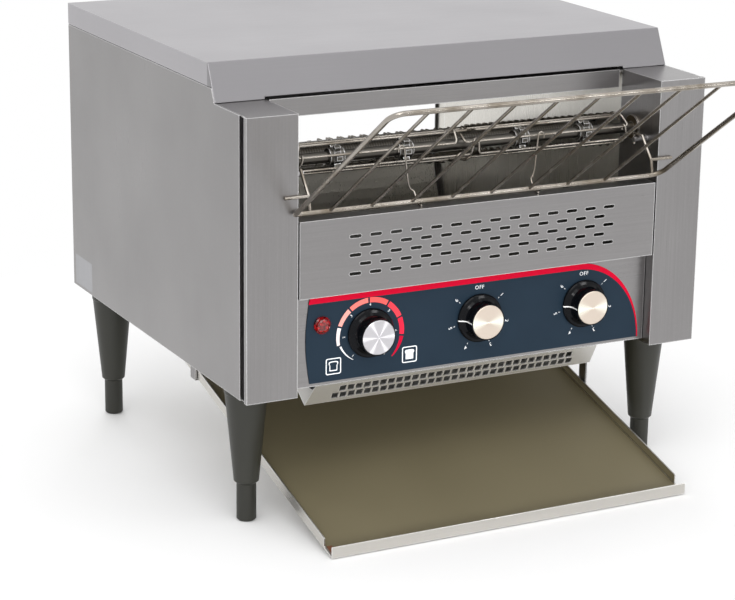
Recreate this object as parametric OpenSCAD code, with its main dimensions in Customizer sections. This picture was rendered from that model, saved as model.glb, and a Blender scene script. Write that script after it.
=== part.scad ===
// Conveyor toaster on four legs: bread slides off a wire rack onto a wire belt,
// passes between two rows of heaters and leaves over a slide to a tray below.
// Millimetres. X is the width, +Y points to the back, +Z is up, the feet stand on Z = 0.

/* [Body] */
// Width over the side panels
body_w = 468; // [440:1:520]
// Depth from the front posts to the back
body_d = 430; // [400:1:480]
// Height of the body's underside above the table
leg_h = 127; // [110:1:160]
// Height of the front posts
post_h = 255; // [235:1:290]
// Width of each front post
post_w = 49; // [40:1:58]
// Thickness of the steel sheet
sheet = 1.2; // [0.8:0.1:1.6]
// How far the side panels start behind the posts' front
side_setback = 14.5; // [10:0.5:20]

/* [Top cover] */
// Height of the cover above the posts
cover_rise = 33.8; // [24:0.2:44]
// Height of the cover's side flanges
cover_flange = 21; // [14:0.5:24]
// Where the cover's lip starts behind the posts' front
lip_y = 66; // [50:1:80]
// How far the lip leans back
lip_lean = 16; // [8:1:24]
// Height of the strip that hangs behind the lip
baffle_h = 17; // [10:1:24]

/* [Front] */
// Height of the control panel
panel_h = 85; // [80:1:92]
// How far the control panel sits behind the posts' front
panel_setback = 12; // [9:0.5:18]
// Height of the slotted guard
guard_h = 70; // [64:1:76]
// Gap at each side of the guard
guard_gap = 1.5; // [1:0.5:4]
// Length of a guard slot
slot_l = 11.5; // [8:0.5:14]
// Width of a guard slot
slot_w = 3; // [2:0.5:4]
// Distance between slots in a row
slot_pitch = 20.2; // [18:0.1:22]
// Distance between the rows of slots
slot_row = 8.5; // [7:0.5:10]
// Height of the intake grille under the control panel
grille_h = 20; // [16:1:26]
// Distance between the holes of the intake grille
grille_pitch = 8.2; // [7.4:0.2:9]

/* [Knobs] */
// Diameter of a knob's flange
knob_d = 45.5; // [38:0.5:48]
// Diameter of a knob's metal cap
cap_d = 33; // [26:1:35]
// How far a knob stands out from the panel
knob_h = 18.5; // [15:0.5:24]
// Distance between the knobs
knob_pitch = 112; // [106:1:116]
// Diameter of the lamp's lens
lamp_d = 16; // [12:1:18]

/* [Conveyor] */
// Gap between the belt's edge and the tunnel wall
belt_gap = 13; // [9:0.5:30]
// Diameter of the belt wire
wire_d = 2.2; // [1.8:0.1:2.6]
// Number of wires in the belt
belt_links = 52; // [48:1:54]
// Distance between the belt's wires
belt_pitch = 13; // [12.6:0.1:13.4]
// Radius at which the wires turn round the shafts
belt_r = 13; // [11.5:0.5:14]
// Slope of the belt, down towards the back, in degrees
belt_slope = 13.5; // [11:0.5:14]
// Diameter of the conveyor shafts
shaft_d = 10; // [8:1:12]
// Teeth on each belt sprocket
belt_teeth = 6; // [5:1:8]
// Running clearance of the shafts in their bushes
run_gap = 0.05; // [0.03:0.01:0.1]
// Teeth on the motor's chain sprocket
motor_teeth = 10; // [9:1:12]
// Teeth on the drive shaft's chain sprocket
shaft_teeth = 20; // [16:1:22]
// Diameter of a quartz heater tube
tube_d = 10; // [8:1:10]

/* [Feed rack] */
// Rod diameter of the rack's frame
rod_d = 4.5; // [3.5:0.5:7]
// Diameter of the rack's bars
bar_d = 3; // [2.5:0.5:5]
// How far the rack's side rods lie outside the opening
rack_over = 2; // [0:0.5:6]
// How far the rack reaches out in front
rack_out = 180.5; // [150:0.5:200]
// Height of the rack's front rod above its back rod
rack_rise = 121; // [100:1:140]
// Number of bars in the rack
rack_bars = 8; // [6:1:9]
// Distance between the bars
rack_pitch = 40; // [36:0.5:42]
// Radius of the rack's bent corners
rack_bend = 12; // [8:1:18]

/* [Output tray] */
// Gap between the output tray and the legs
tray_gap = 7; // [6:0.5:20]
// How far the tray reaches out in front
tray_out = 71; // [50:1:90]
// Length of the tray along the table
tray_l = 356; // [300:1:370]
// Slope of the tray in degrees
tray_slope = 14.6; // [12:0.2:16]
// Height of the tray's front lip
tray_lip = 10.5; // [8:0.5:14]
// Height of the tray's side flanges
tray_flange = 9.5; // [7:0.5:14]

/* [Legs] */
// Diameter of a leg at its top
leg_top_d = 40; // [34:1:44]
// Diameter of a leg at its lower end
leg_end_d = 23; // [22:1:32]
// Diameter of the adjusting foot
foot_d = 18; // [16:1:21]
// Visible height of the adjusting foot
foot_h = 36; // [30:1:50]
// Distance of the leg axes from the body's side
leg_in_x = 22; // [22:1:28]
// Distance of the leg axes from the body's front and back
leg_in_y = 50; // [44:1:60]

/* [Hidden] */
$fn = 48;
gap = 0.3;
eps = 0.01;
half_w = body_w / 2;
floor_z = leg_h;
post_z = leg_h + post_h;
top_z = post_z + cover_rise;
seam_z = top_z - cover_flange;
wall_x = half_w - post_w;            // inner faces of the posts and the toasting tunnel
gland_reach = 16;
rack_reach = rack_out + rod_d / 2;
front_y = rack_reach - (rack_reach + body_d + gland_reach) / 2;

panel_gap = 0.6;                     // between the control panel and the posts
panel_z0 = floor_z + 4;
panel_z1 = panel_z0 + panel_h;
guard_z0 = panel_z1 + gap;
guard_z1 = guard_z0 + guard_h;
panel_x0 = -wall_x + panel_gap;
panel_x1 = wall_x - panel_gap;
guard_hw = wall_x - guard_gap;
knob_z = panel_z0 + panel_h / 2 + 1;
knob_mid = 3.75;                     // the middle knob sits a little right of the centre
knob_x = [knob_mid - knob_pitch, knob_mid, knob_mid + knob_pitch];
lamp_x = panel_x0 + 28.15;
lamp_z = knob_z + 13;
control_shaft_d = 6;
bushing_d = 10;
fascia_t = 0.8;
grille_x0 = panel_x0 + 22.5;
hopper_x1 = panel_x1 - 50;

// belt loop
nose_y = 44;
nose_z = guard_z1 + 44.5;
belt_wire_r = wire_d / 2;
loop_len = belt_links * belt_pitch;
shaft_dist = (loop_len - 2 * PI * belt_r) / 2;
tail_y = nose_y + shaft_dist * cos(belt_slope);
tail_z = nose_z - shaft_dist * sin(belt_slope);
belt_hw = wall_x - belt_gap;
hook_w = 7;
bush_d = 18;
wall_y0 = 30;
wall_y1 = body_d - 18;
tunnel_top = post_z - 2 * sheet - gap;

// drive train, in the space right of the tunnel
chain_x = wall_x + 22;
chain_pitch = 8;
motor_r = chain_pitch / (2 * sin(180 / motor_teeth));
drive_r = chain_pitch / (2 * sin(180 / shaft_teeth));
roller_d = 5;
plate_h = 7;
partition_y = body_d - 215;          // back wall of the electrical bay
partition_run = 40;                  // how far its foot lies behind its top
partition_lip = 20;                  // how far its roof stops behind the panel
motor_y = partition_y - 50;
motor_z = floor_z + 42;
gearbox_w = 34;                      // the gearmotor is a bought part of fixed size
gearbox_hw = 32;
motor_d = 56;
motor_l = 62;
motor_end_d = 34;
motor_end_l = 12;
bracket_hw = 40;

rack_y = -5;
rack_cx = -3;                        // the rack hangs a little to the left
bar_shift = 14;                      // the bars stand left of the rack's middle
rack_z = guard_z1 + 9;
stop_bar_z = rack_z + 14;
peg_y = 21;
peg_z = stop_bar_z + 15;
tray_hw = half_w - leg_in_x - leg_top_d / 2 - tray_gap;
tray_back = tray_l - tray_out;
hanger_y = tray_back - 60;
tray_clear = 1;

// openings and details
leg_x = half_w - leg_in_x;
leg_ys = [leg_in_y, body_d - leg_in_y];
stud_d = 10;
stem_d = 8;
stem_l = 46;
chute_y0 = partition_y + 44;
chute_y1 = body_d - 40;
outlet_z0 = floor_z + 113;           // rear outlet above the toast slide
outlet_z1 = floor_z + 173;
slide_r = 118;
lip_cut = 2;
slot_cx = 2;
grille_lean = 27;
grille_margin = 25;                  // plain ends beside the holes
grille_offset = 2;                   // how far the lower row sits to the left
grille_web = 1.7;                    // metal between two holes
hopper_back = 62;
hopper_bevel_left = -6;
hopper_bevel_right = 1;
roof_bend_y = 125;
vent_n = 16;
vent_pitch = 16;
vent_l = 40;
run_t0 = 34;
run_t1 = shaft_dist - 34;
reflector_drop = 5;
top_heater_rise = 38;                // heaters above the belt, and above the plane inside its loop
low_heater_rise = 4;
top_heater_at = [for (k = [0:2]) let(y = nose_y + (0.25 + 0.3 * k) * (tail_y - nose_y))
    [y, belt_top(y) + top_heater_rise]];
bottom_heater_at = [for (k = [0:2]) let(t = (0.24 + 0.26 * k) * shaft_dist)
    [nose_y + t * cos(belt_slope) + low_heater_rise * sin(belt_slope),
     nose_z - t * sin(belt_slope) + low_heater_rise * cos(belt_slope)]];
sprocket_x = belt_hw * [-0.75, -0.35, 0.35, 0.75];
bush_l = 12;
peg_d = 5;
peg_l = 14;
hook_x = belt_hw + 4;
lamp_neck_d = 10;
control_shaft_l = 14;
fan_size = 80;
fan_pin_d = 5;
fan_x = -128;
fan_y = 150;
terminal_x = -60;
terminal_y = 150;
gland_x = -170;
gland_z = floor_z + 34;
gland_thread_d = 16;
cable_bore_d = 9;

steel = "#b3b0ae";
dark_steel = "#7d7c78";
bare_wire = "#c9c6bf";
black = "#26262a";

// ---------- helpers ----------

// Moves from the frame of the front posts to the part's own frame.
module at_front() {
    translate([0, front_y, 0]) children();
}

// A plate standing across the width, drawn as its outline in Y and Z.
module side_plate(x0, t) {
    translate([x0, 0, 0]) rotate([90, 0, 90]) linear_extrude(t) children();
}

// A plate facing the front, drawn as its outline in X and Z.
module front_plate(y0, t) {
    translate([0, y0 + t, 0]) rotate([90, 0, 0]) linear_extrude(t) children();
}

// A box from one corner to the opposite one.
module box(a, b) {
    translate(a) cube(b - a);
}

// A straight rod between two points.
module rod(a, b, d, n = 20) {
    v = b - a;
    len = norm(v);
    translate(a)
        rotate([0, acos(v.z / len), atan2(v.y, v.x)])
            cylinder(h = len, d = d, $fn = n);
}

// Keeps one side of a mirrored pair: -1 is left, 1 is right.
module on_side(s) {
    if (s < 0) mirror([1, 0, 0]) children();
    else children();
}

// Where the intake hopper's face, floor and ends lie at height z.
function intake_front(z) = panel_setback + (panel_z0 - gap - z) * tan(grille_lean);
function intake_back(z) = let(low = panel_z0 - gap - grille_h)
    intake_front(low)
    + (z - low) * (hopper_back - gap - intake_front(low)) / (floor_z - gap - low);
function intake_end(x, z, bevel) = x + bevel * (panel_z0 - gap - z) / grille_h;

// Y of the cover's leaning lip at height z.
function lip_at(z) = lip_y + lip_lean * (z - post_z) / cover_rise;

// Height of the belt's top surface at y, and of a line above it.
function belt_top(y) = nose_z + (belt_r + belt_wire_r) / cos(belt_slope) - (y - nose_y) * tan(belt_slope);

// Height of the underside of the output tray at y.
function tray_under(y) = tray_clear + (y + tray_out) * tan(tray_slope);

// ---------- body ----------

module base_pan() {
    bx = half_w - sheet - gap;
    y1 = body_d - sheet - gap;
    color(steel) at_front() difference() {
        union() {
            box([-bx, sheet + gap, floor_z], [bx, y1, floor_z + sheet]);
            for (s = [-1, 1]) on_side(s)
                box([bx - sheet, side_setback + 2, floor_z], [bx, y1, floor_z + 16]);
        }
        // way down for the toast
        box([-wall_x + 2, chute_y0, floor_z - 1], [wall_x - 2, chute_y1, floor_z + 3]);
        // notch for the control panel and way in for the cooling air behind the grille
        box([-wall_x, 0, floor_z - 1], [wall_x, panel_setback + 18, floor_z + 3]);
        box([grille_x0, panel_setback, floor_z - 1], [hopper_x1, hopper_back, floor_z + 3]);
        translate([fan_x, fan_y, floor_z - 1]) cylinder(h = 4, d = fan_size - 8);
        for (s = [-1, 1], y = leg_ys)
            translate([s * leg_x, y, floor_z - 1]) cylinder(h = 4, d = stud_d + 0.6);
    }
}

module side_panel(s) {
    y_seam = lip_at(seam_z) + sheet + gap;
    color(steel) at_front() on_side(s) {
        side_plate(half_w - sheet, sheet) polygon([
            [side_setback, floor_z], [body_d, floor_z], [body_d, seam_z - gap],
            [y_seam, seam_z - gap], [lip_at(post_z) + sheet + gap, post_z], [side_setback, post_z]
        ]);
        // folded edges
        box([half_w - 8, side_setback, floor_z], [half_w - eps, side_setback + sheet, post_z]);
        box([half_w - 22, body_d - sheet, floor_z], [half_w - eps, body_d, seam_z - gap]);
        box([half_w - 12, y_seam + 2, seam_z - gap - sheet], [half_w - eps, body_d - eps, seam_z - gap]);
    }
}
module side_panel_left() side_panel(-1);
module side_panel_right() side_panel(1);

module front_post(s) {
    z0 = floor_z + sheet + gap;
    web_x = half_w - 9.5;
    color(steel) at_front() on_side(s) difference() {
        union() {
            // face, top cap and the folds beside them
            box([wall_x, 0, floor_z], [half_w, sheet, post_z]);
            box([half_w - sheet, 0, floor_z], [half_w, 5, post_z]);
            box([wall_x, 0, z0], [wall_x + sheet, lip_y, post_z]);
            box([wall_x, 0, post_z - sheet], [half_w, 5, post_z]);
            box([wall_x, 0, post_z - sheet], [half_w - sheet - gap, lip_y + 6, post_z]);
            // web that closes the shadow gap beside the side panel
            box([web_x - sheet, 0, z0], [web_x, side_setback + 8, post_z - eps]);
            // peg that carries the feed rack
            translate([wall_x + eps, peg_y, peg_z]) rotate([0, -90, 0]) cylinder(h = peg_l, d = peg_d);
        }
        translate([wall_x - 1, nose_y, nose_z]) rotate([0, 90, 0])
            cylinder(h = sheet + 2, d = bush_d + 0.2);
    }
}
module front_post_left() front_post(-1);
module front_post_right() front_post(1);

module tunnel_wall(s) {
    x0 = wall_x + sheet + gap;
    color("#bdbbb8") at_front() on_side(s) difference() {
        side_plate(x0, sheet) polygon([
            [wall_y0, floor_z + sheet], [wall_y1, floor_z + sheet], [wall_y1, roof_z(wall_y1)],
            [roof_bend_y, tunnel_top], [wall_y0, tunnel_top]
        ]);
        for (p = [[nose_y, nose_z], [tail_y, tail_z]])
            translate([x0 - 1, p[0], p[1]]) rotate([0, 90, 0]) cylinder(h = sheet + 2, d = bush_d + 0.2);
        for (p = concat(top_heater_at, bottom_heater_at))
            translate([x0 - 1, p[0], p[1]]) rotate([0, 90, 0]) cylinder(h = sheet + 2, d = tube_d + 2);
        translate([x0 - 1, motor_y, motor_z]) rotate([0, 90, 0]) cylinder(h = sheet + 2, d = 22);
    }
}
module tunnel_wall_left() tunnel_wall(-1);
module tunnel_wall_right() tunnel_wall(1);

module top_cover() {
    z0 = post_z + gap;
    t = sheet;
    color("#bdbbbd") at_front() {
        difference() {
            side_plate(-half_w, body_w) polygon([
                [lip_at(z0), z0], [lip_at(top_z), top_z], [body_d, top_z], [body_d, seam_z],
                [body_d - t, seam_z], [body_d - t, top_z - t], [lip_at(top_z) + t * 0.7, top_z - t],
                [lip_at(z0) + t, z0]
            ]);
            // the lip stops higher over the opening
            box([-wall_x - 1, lip_y - 2, z0 - 1], [wall_x + 1, lip_y + 8, z0 + lip_cut]);
        }
        // hem behind the raised part of the lip
        box([-wall_x - 1, lip_at(z0 + lip_cut) + t / 2, z0 + lip_cut],
            [wall_x + 1, lip_at(z0 + lip_cut) + 12, z0 + lip_cut + t]);
        for (s = [-1, 1]) on_side(s)
            side_plate(half_w - t, t) polygon([
                [lip_at(seam_z) + eps, seam_z], [lip_at(top_z) + eps, top_z - eps],
                [body_d - eps, top_z - eps], [body_d - eps, seam_z]
            ]);
    }
}

module top_baffle() {
    bw = wall_x - 3;
    z1 = tunnel_top + 2 * sheet;
    color(steel) at_front() {
        box([-bw, lip_y, z1 - baffle_h], [bw, lip_y + sheet, z1]);
        box([-bw, lip_y, z1 - sheet], [bw, lip_y + 20, z1]);
        box([-bw, lip_y, z1 - baffle_h], [bw, lip_y + 5, z1 - baffle_h + sheet]);
    }
}

// The slots of the front guard: rows of stadium shapes, every second row shifted by half a pitch.
module slot_field() {
    for (r = [0:4], i = [0:13 - r % 2])
        translate([
            slot_cx + (i - 6.5 + (r % 2) / 2) * slot_pitch,
            guard_z0 + guard_h / 2 + (2 - r) * slot_row
        ]) {
            square([slot_l - slot_w, slot_w], center = true);
            for (e = [-1, 1]) translate([e * (slot_l - slot_w) / 2, 0]) circle(d = slot_w, $fn = 16);
        }
}

module front_guard() {
    color(steel) at_front() {
        front_plate(0, sheet) difference() {
            translate([-guard_hw, guard_z0]) square([2 * guard_hw, guard_h]);
            slot_field();
        }
        box([-guard_hw, eps, guard_z1 - sheet], [guard_hw, 16, guard_z1]);
        box([-guard_hw, eps, guard_z0], [guard_hw, panel_setback - gap, guard_z0 + sheet]);
        for (s = [-1, 1]) on_side(s)
            box([guard_hw - sheet, eps, guard_z0], [guard_hw, 14, guard_z1 - eps]);
    }
}

module control_panel() {
    y0 = panel_setback;
    color(steel) at_front() {
        front_plate(y0, sheet) difference() {
            translate([panel_x0, panel_z0]) square([panel_x1 - panel_x0, panel_h]);
            for (x = knob_x) translate([x, knob_z]) circle(d = bushing_d + 0.4);
            translate([lamp_x, lamp_z]) circle(d = lamp_neck_d + 0.4);
        }
        box([panel_x0, y0 + eps, panel_z1 - sheet], [panel_x1, y0 + 16, panel_z1]);
        for (s = [-1, 1]) on_side(s)
            box([panel_x1 - sheet, y0 + eps, panel_z0 + eps], [panel_x1 - eps, y0 + 46, panel_z1 - eps]);
    }
}

// Outline of the printed overlay: bowed left edge, straight top and one large rounded corner.
function fascia_outline() = let(
    x0 = panel_x0 + 16.5, x1 = panel_x1 - 6, z0 = panel_z0 + 3, z1 = panel_z1 - 3,
    h = z1 - z0, bow = 4, corner = 68
) concat(
    [for (i = [0:8]) [x0 - bow * sin(i * 22.5), z0 + h * i / 8]],
    [for (a = [90:-6:0]) [x1 - corner + corner * cos(a), z0 + h * sin(a)]]
);

module fascia() {
    color("#2f3d4a") at_front() front_plate(panel_setback - fascia_t, fascia_t) difference() {
        polygon(fascia_outline());
        for (x = knob_x) translate([x, knob_z]) circle(d = bushing_d + 0.4);
        translate([lamp_x, lamp_z]) circle(d = lamp_neck_d + 0.4);
    }
}

// Sheet-metal hopper, open at the top: level is how far its sides run on upwards, inset how far in they lie.
module intake_hopper(level, inset) {
    top = panel_z0 - gap + level;
    low = panel_z0 - gap - grille_h;
    intersection() {
        side_plate(-wall_x, 2 * wall_x)
            offset(delta = -inset)
                polygon([
                    [intake_front(top), top], [intake_front(low), low],
                    [intake_back(floor_z - gap + level), floor_z - gap + level],
                    [intake_front(floor_z - gap + level) + sheet / cos(grille_lean), floor_z - gap + level],
                    [intake_front(top) + sheet / cos(grille_lean), top]
                ]);
        front_plate(0, 2 * hopper_back)
            offset(delta = -inset)
                polygon([
                    [intake_end(grille_x0 + gap, top, hopper_bevel_left), top],
                    [intake_end(hopper_x1 - gap, top, -hopper_bevel_right), top],
                    [intake_end(hopper_x1 - gap, low, -hopper_bevel_right), low],
                    [intake_end(grille_x0 + gap, low, hopper_bevel_left), low]
                ]);
    }
}

// Hopper-shaped air intake that hangs below the control panel.
module intake_grille() {
    cols = floor((hopper_x1 - grille_x0 - 2 * grille_margin) / grille_pitch);
    mid_x = (grille_x0 + hopper_x1) / 2;
    color(steel) at_front() difference() {
        intake_hopper(0, 0);
        intake_hopper(4 * grille_h, sheet);
        // two rows of square holes, the lower one with a hole more
        translate([0, panel_setback, panel_z0 - gap]) rotate([grille_lean, 0, 0])
            front_plate(-sheet, 3 * sheet)
                for (r = [0, 1], i = [0:cols - 1 + r])
                    translate([
                        mid_x + (i - (cols - 1 + r) / 2) * grille_pitch - r * grille_offset,
                        -grille_h / cos(grille_lean) / 2 + (0.5 - r) * grille_pitch
                    ])
                        square(grille_pitch - grille_web, center = true);
    }
}

module rear_panel() {
    hw = half_w - 22 - gap;
    color(steel) at_front() difference() {
        union() {
            front_plate(body_d - sheet, sheet) polygon([
                [-hw, floor_z], [hw, floor_z], [hw, outlet_z1], [wall_x - 1, outlet_z1],
                [wall_x - 1, outlet_z0], [-wall_x + 1, outlet_z0], [-wall_x + 1, outlet_z1], [-hw, outlet_z1]
            ]);
            box([-wall_x + 1, body_d - 8, outlet_z0 - sheet], [wall_x - 1, body_d - eps, outlet_z0]);
        }
        translate([gland_x, body_d + 1, gland_z]) rotate([90, 0, 0])
            cylinder(h = sheet + 2, d = gland_thread_d + 0.4);
    }
}

module rear_top_rail() {
    hw = half_w - 22 - gap;
    color(steel) at_front() {
        front_plate(body_d - sheet, sheet) difference() {
            translate([-hw, outlet_z1 + gap]) square([2 * hw, seam_z - outlet_z1 - 2 * gap]);
            for (i = [-vent_n / 2 + 0.5:vent_n / 2])
                translate([i * vent_pitch, (outlet_z1 + seam_z) / 2]) square([4, vent_l], center = true);
        }
        box([-wall_x, body_d - 12, outlet_z1 + gap], [wall_x, body_d - eps, outlet_z1 + gap + sheet]);
    }
}

// Sheet that parts the electrical bay at the front from the hot side.
module bay_partition() {
    z1 = panel_z1 + gap + 2 * sheet;
    color(dark_steel) at_front() side_plate(-wall_x + 1.5, 2 * wall_x - 3) polygon([
        [panel_setback + partition_lip, z1], [partition_y, z1],
        [partition_y + partition_run, floor_z + sheet + gap],
        [partition_y + partition_run - sheet, floor_z + sheet + gap], [partition_y - sheet, z1 - sheet],
        [panel_setback + partition_lip, z1 - sheet]
    ]);
}

// Height of the tunnel's roof at y: level at the front, then parallel to the belt.
function roof_z(y) = y < roof_bend_y ? tunnel_top : tunnel_top - (y - roof_bend_y) * tan(belt_slope);

module top_reflector() {
    y0 = lip_y + sheet + gap;
    hw = wall_x + 2 * sheet + gap;
    color("#c6c4c0") at_front() side_plate(-hw, 2 * hw) polygon([
        [y0, tunnel_top], [roof_bend_y, tunnel_top], [wall_y1, roof_z(wall_y1)],
        [wall_y1, roof_z(wall_y1) + sheet], [roof_bend_y, tunnel_top + sheet], [y0, tunnel_top + sheet]
    ]);
}

// Places its children on the belt's centre plane, t along the run and n above the plane.
module on_belt(t, n) {
    translate([0, nose_y, nose_z]) rotate([-belt_slope, 0, 0]) translate([0, t, n]) children();
}

module bottom_reflector() {
    hw = wall_x + sheet;
    y0 = run_t0;
    len = run_t1 - run_t0;
    color("#c6c4c0") at_front() on_belt(y0, -reflector_drop) {
        translate([-hw, 0, 0]) cube([2 * hw, len, sheet]);
        for (y = [0, len - sheet]) translate([-hw, y, 0]) cube([2 * hw, sheet, 5]);
    }
}

// ---------- heaters and conveyor ----------

module heater_tubes(at) {
    half = wall_x + 2 * sheet + gap + 9;
    for (p = at)
        translate([-half, p[0], p[1]]) rotate([0, 90, 0]) cylinder(h = 2 * half, d = tube_d);
}
module top_heaters() color("#e8e2d8") at_front() heater_tubes(top_heater_at);
module bottom_heaters() color("#e8e2d8") at_front() heater_tubes(bottom_heater_at);

// Ceramic sleeves that hold the tube ends against the tunnel walls.
module heater_holders() {
    x0 = wall_x + 2 * sheet + gap;
    color("#efe9dc") at_front()
        for (s = [-1, 1], p = concat(top_heater_at, bottom_heater_at))
            on_side(s) translate([x0, p[0], p[1]]) rotate([0, 90, 0]) difference() {
                cylinder(h = 10, d = tube_d + 8);
                translate([0, 0, -1]) cylinder(h = 12, d = tube_d + 0.3);
            }
}

// Ledges inside the belt loop that the upper run slides on.
module belt_rails() {
    color(dark_steel) at_front() for (s = [-1, 1]) on_side(s)
        on_belt(run_t0, belt_r - belt_wire_r - gap - sheet)
            translate([belt_hw - 14, 0, 0]) cube([wall_x + sheet - belt_hw + 14, run_t1 - run_t0, sheet]);
}

// Point of the loop at length s from the top of the nose, in the belt's own plane: [t, n].
function loop_point(s) = let(
    arc = PI * belt_r, d = shaft_dist, u = s % loop_len
) u < d ? [u, belt_r]
    : u < d + arc ? [d + belt_r * sin((u - d) / arc * 180), belt_r * cos((u - d) / arc * 180)]
    : u < 2 * d + arc ? [2 * d + arc - u, -belt_r]
    : [-belt_r * sin((u - 2 * d - arc) / arc * 180), -belt_r * cos((u - 2 * d - arc) / arc * 180)];

// One wire of the belt, bent into a hook at each edge and in the middle that reaches the next wire.
module belt_link(reach) {
    w = wire_d;
    for (s = [-1, 1]) on_side(s) translate([hook_w / 2 - w, 0, 0]) rotate([0, 90, 0]) rotate([0, 0, 22.5])
        cylinder(h = belt_hw - 1.5 * hook_w + 2 * w, d = w, $fn = 8);
    linear_extrude(w, center = true)
        for (x = [-belt_hw + hook_w / 2, 0, belt_hw - hook_w / 2]) {
            for (s = [-1, 1]) translate([x + s * (hook_w - w) / 2, (reach - w) / 2 + w / 8])
                square([w, reach - w / 4], center = true);
            translate([x, reach - w]) square([hook_w, w], center = true);
        }
}

module conveyor_belt() {
    chord = 2 * belt_r * sin(belt_pitch / belt_r * 90 / PI);
    reach = chord - gap;
    color(bare_wire) at_front() on_belt(0, 0)
        for (i = [0:belt_links - 1]) {
            a = loop_point((i + 0.5) * belt_pitch);
            b = loop_point((i + 1.5) * belt_pitch);
            translate([0, a[0], a[1]]) rotate([atan2(b[1] - a[1], b[0] - a[0]), 0, 0]) belt_link(reach);
        }
}

// Outline of a toothed wheel with flat-topped teeth.
function toothed(n, root, tip) = [
    for (i = [0:n - 1], k = [0:3])
        let(a = (i + [-0.34, -0.16, 0.16, 0.34][k]) * 360 / n, r = k == 0 || k == 3 ? root : tip)
        [r * cos(a), r * sin(a)]
];

module belt_sprockets(y, z) {
    tip = belt_r - belt_wire_r - gap;
    color(dark_steel) at_front() for (x = sprocket_x)
        translate([x - 3, y, z]) rotate([90, 0, 90]) difference() {
            union() {
                linear_extrude(6) polygon(toothed(belt_teeth, tip - 3.2, tip));
                translate([0, 0, -4]) cylinder(h = 14, d = shaft_d + 6);
            }
            translate([0, 0, -5]) cylinder(h = 16, d = shaft_d);
        }
}
module drive_belt_sprockets() belt_sprockets(tail_y, tail_z);
module idler_belt_sprockets() belt_sprockets(nose_y, nose_z);

module idler_shaft() {
    half = wall_x + bush_l;
    color(bare_wire) at_front() translate([-half, nose_y, nose_z]) rotate([0, 90, 0])
        cylinder(h = 2 * half, d = shaft_d);
}

module drive_shaft() {
    x0 = -wall_x - bush_l;
    color(bare_wire) at_front() translate([x0, tail_y, tail_z]) rotate([0, 90, 0])
        cylinder(h = chain_x + 10 - x0, d = shaft_d);
}

// Flanged bushes that carry both shafts in the tunnel walls.
module shaft_bushes() {
    seat = [wall_x, wall_x + sheet + gap];
    at = [[nose_y, nose_z], [tail_y, tail_z]];
    color("#b08d4a") at_front() for (s = [-1, 1], i = [0, 1])
        on_side(s) translate([seat[i], at[i][0], at[i][1]]) rotate([0, 90, 0]) difference() {
            union() {
                translate([0, 0, -2]) cylinder(h = 2, d = bush_d + 5);
                cylinder(h = bush_l - 3, d = bush_d);
            }
            translate([0, 0, -3]) cylinder(h = bush_l + 2, d = shaft_d + 2 * run_gap);
        }
}

module gearmotor() {
    x1 = wall_x - 2.5;
    color("#8d9094") at_front() {
        box([x1 - gearbox_w, motor_y - gearbox_hw, motor_z - gearbox_hw],
            [x1, motor_y + gearbox_hw, motor_z + gearbox_hw]);
        translate([x1 - gearbox_w - motor_l, motor_y, motor_z]) rotate([0, 90, 0])
            cylinder(h = motor_l + eps, d = motor_d);
        translate([x1 - gearbox_w - motor_l - motor_end_l, motor_y, motor_z]) rotate([0, 90, 0])
            cylinder(h = motor_end_l + eps, d = motor_end_d);
    }
}

module motor_bracket() {
    x1 = wall_x - 2.5;
    color(steel) at_front() difference() {
        union() {
            box([x1, motor_y - bracket_hw, floor_z + sheet], [x1 + 2, motor_y + bracket_hw, motor_z + 36]);
            box([x1 - 60, motor_y - bracket_hw, floor_z + sheet],
                [x1 + 2, motor_y + bracket_hw, floor_z + sheet + 2]);
        }
        translate([x1 - 1, motor_y, motor_z]) rotate([0, 90, 0]) cylinder(h = 4, d = 20);
    }
}

// A chain sprocket; its teeth stay inside the rollers.
module chain_wheel(n, r) {
    tip = r - roller_d / 2 - gap;
    rotate([90, 0, 90]) translate([0, 0, -2]) linear_extrude(4) polygon(toothed(n, tip - 1.6, tip));
}

module motor_sprocket() {
    color(dark_steel) at_front() translate([chain_x, motor_y, motor_z]) {
        chain_wheel(motor_teeth, motor_r);
        rotate([0, 90, 0]) translate([0, 0, 2 - eps]) cylinder(h = 6, d = 14);
        rotate([0, 90, 0]) translate([0, 0, -(chain_x - wall_x + 2)]) cylinder(h = chain_x - wall_x, d = 8);
    }
}

module drive_sprocket() {
    color(dark_steel) at_front() translate([chain_x, tail_y, tail_z]) difference() {
        union() {
            chain_wheel(shaft_teeth, drive_r);
            rotate([0, 90, 0]) translate([0, 0, 2 - eps]) cylinder(h = 6, d = 22);
        }
        rotate([0, 90, 0]) translate([0, 0, -5]) cylinder(h = 20, d = shaft_d);
    }
}

// Outline of an open-belt path round both chain wheels, e outside the pitch line.
function chain_outline(e) = let(
    dy = tail_y - motor_y, dz = tail_z - motor_z, c = norm([dy, dz]),
    dir = atan2(dz, dy), lift = asin((drive_r - motor_r) / c)
) concat(
    [for (k = [0:12]) let(a = dir + 90 + lift + (180 - 2 * lift) * k / 12)
        [motor_y + (motor_r + e) * cos(a), motor_z + (motor_r + e) * sin(a)]],
    [for (k = [0:18]) let(a = dir - 90 - lift + (180 + 2 * lift) * k / 18)
        [tail_y + (drive_r + e) * cos(a), tail_z + (drive_r + e) * sin(a)]]
);

module drive_chain() {
    line = chain_outline(0);
    color(dark_steel) at_front() {
        for (x = [chain_x - 4.2, chain_x + 3]) side_plate(x, 1.2) difference() {
            polygon(chain_outline(plate_h / 2));
            polygon(chain_outline(-plate_h / 2));
        }
        for (i = [0:len(line) - 1]) {
            a = line[i];
            b = line[(i + 1) % len(line)];
            n = max(1, round(norm(b - a) / chain_pitch));
            for (k = [0:n - 1]) let(p = a + (b - a) * k / n)
                if (n > 1 || i % 2 == 0)
                    translate([chain_x - 3.5, p[0], p[1]]) rotate([0, 90, 0])
                        cylinder(h = 7, d = roller_d, $fn = 12);
        }
    }
}

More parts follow.
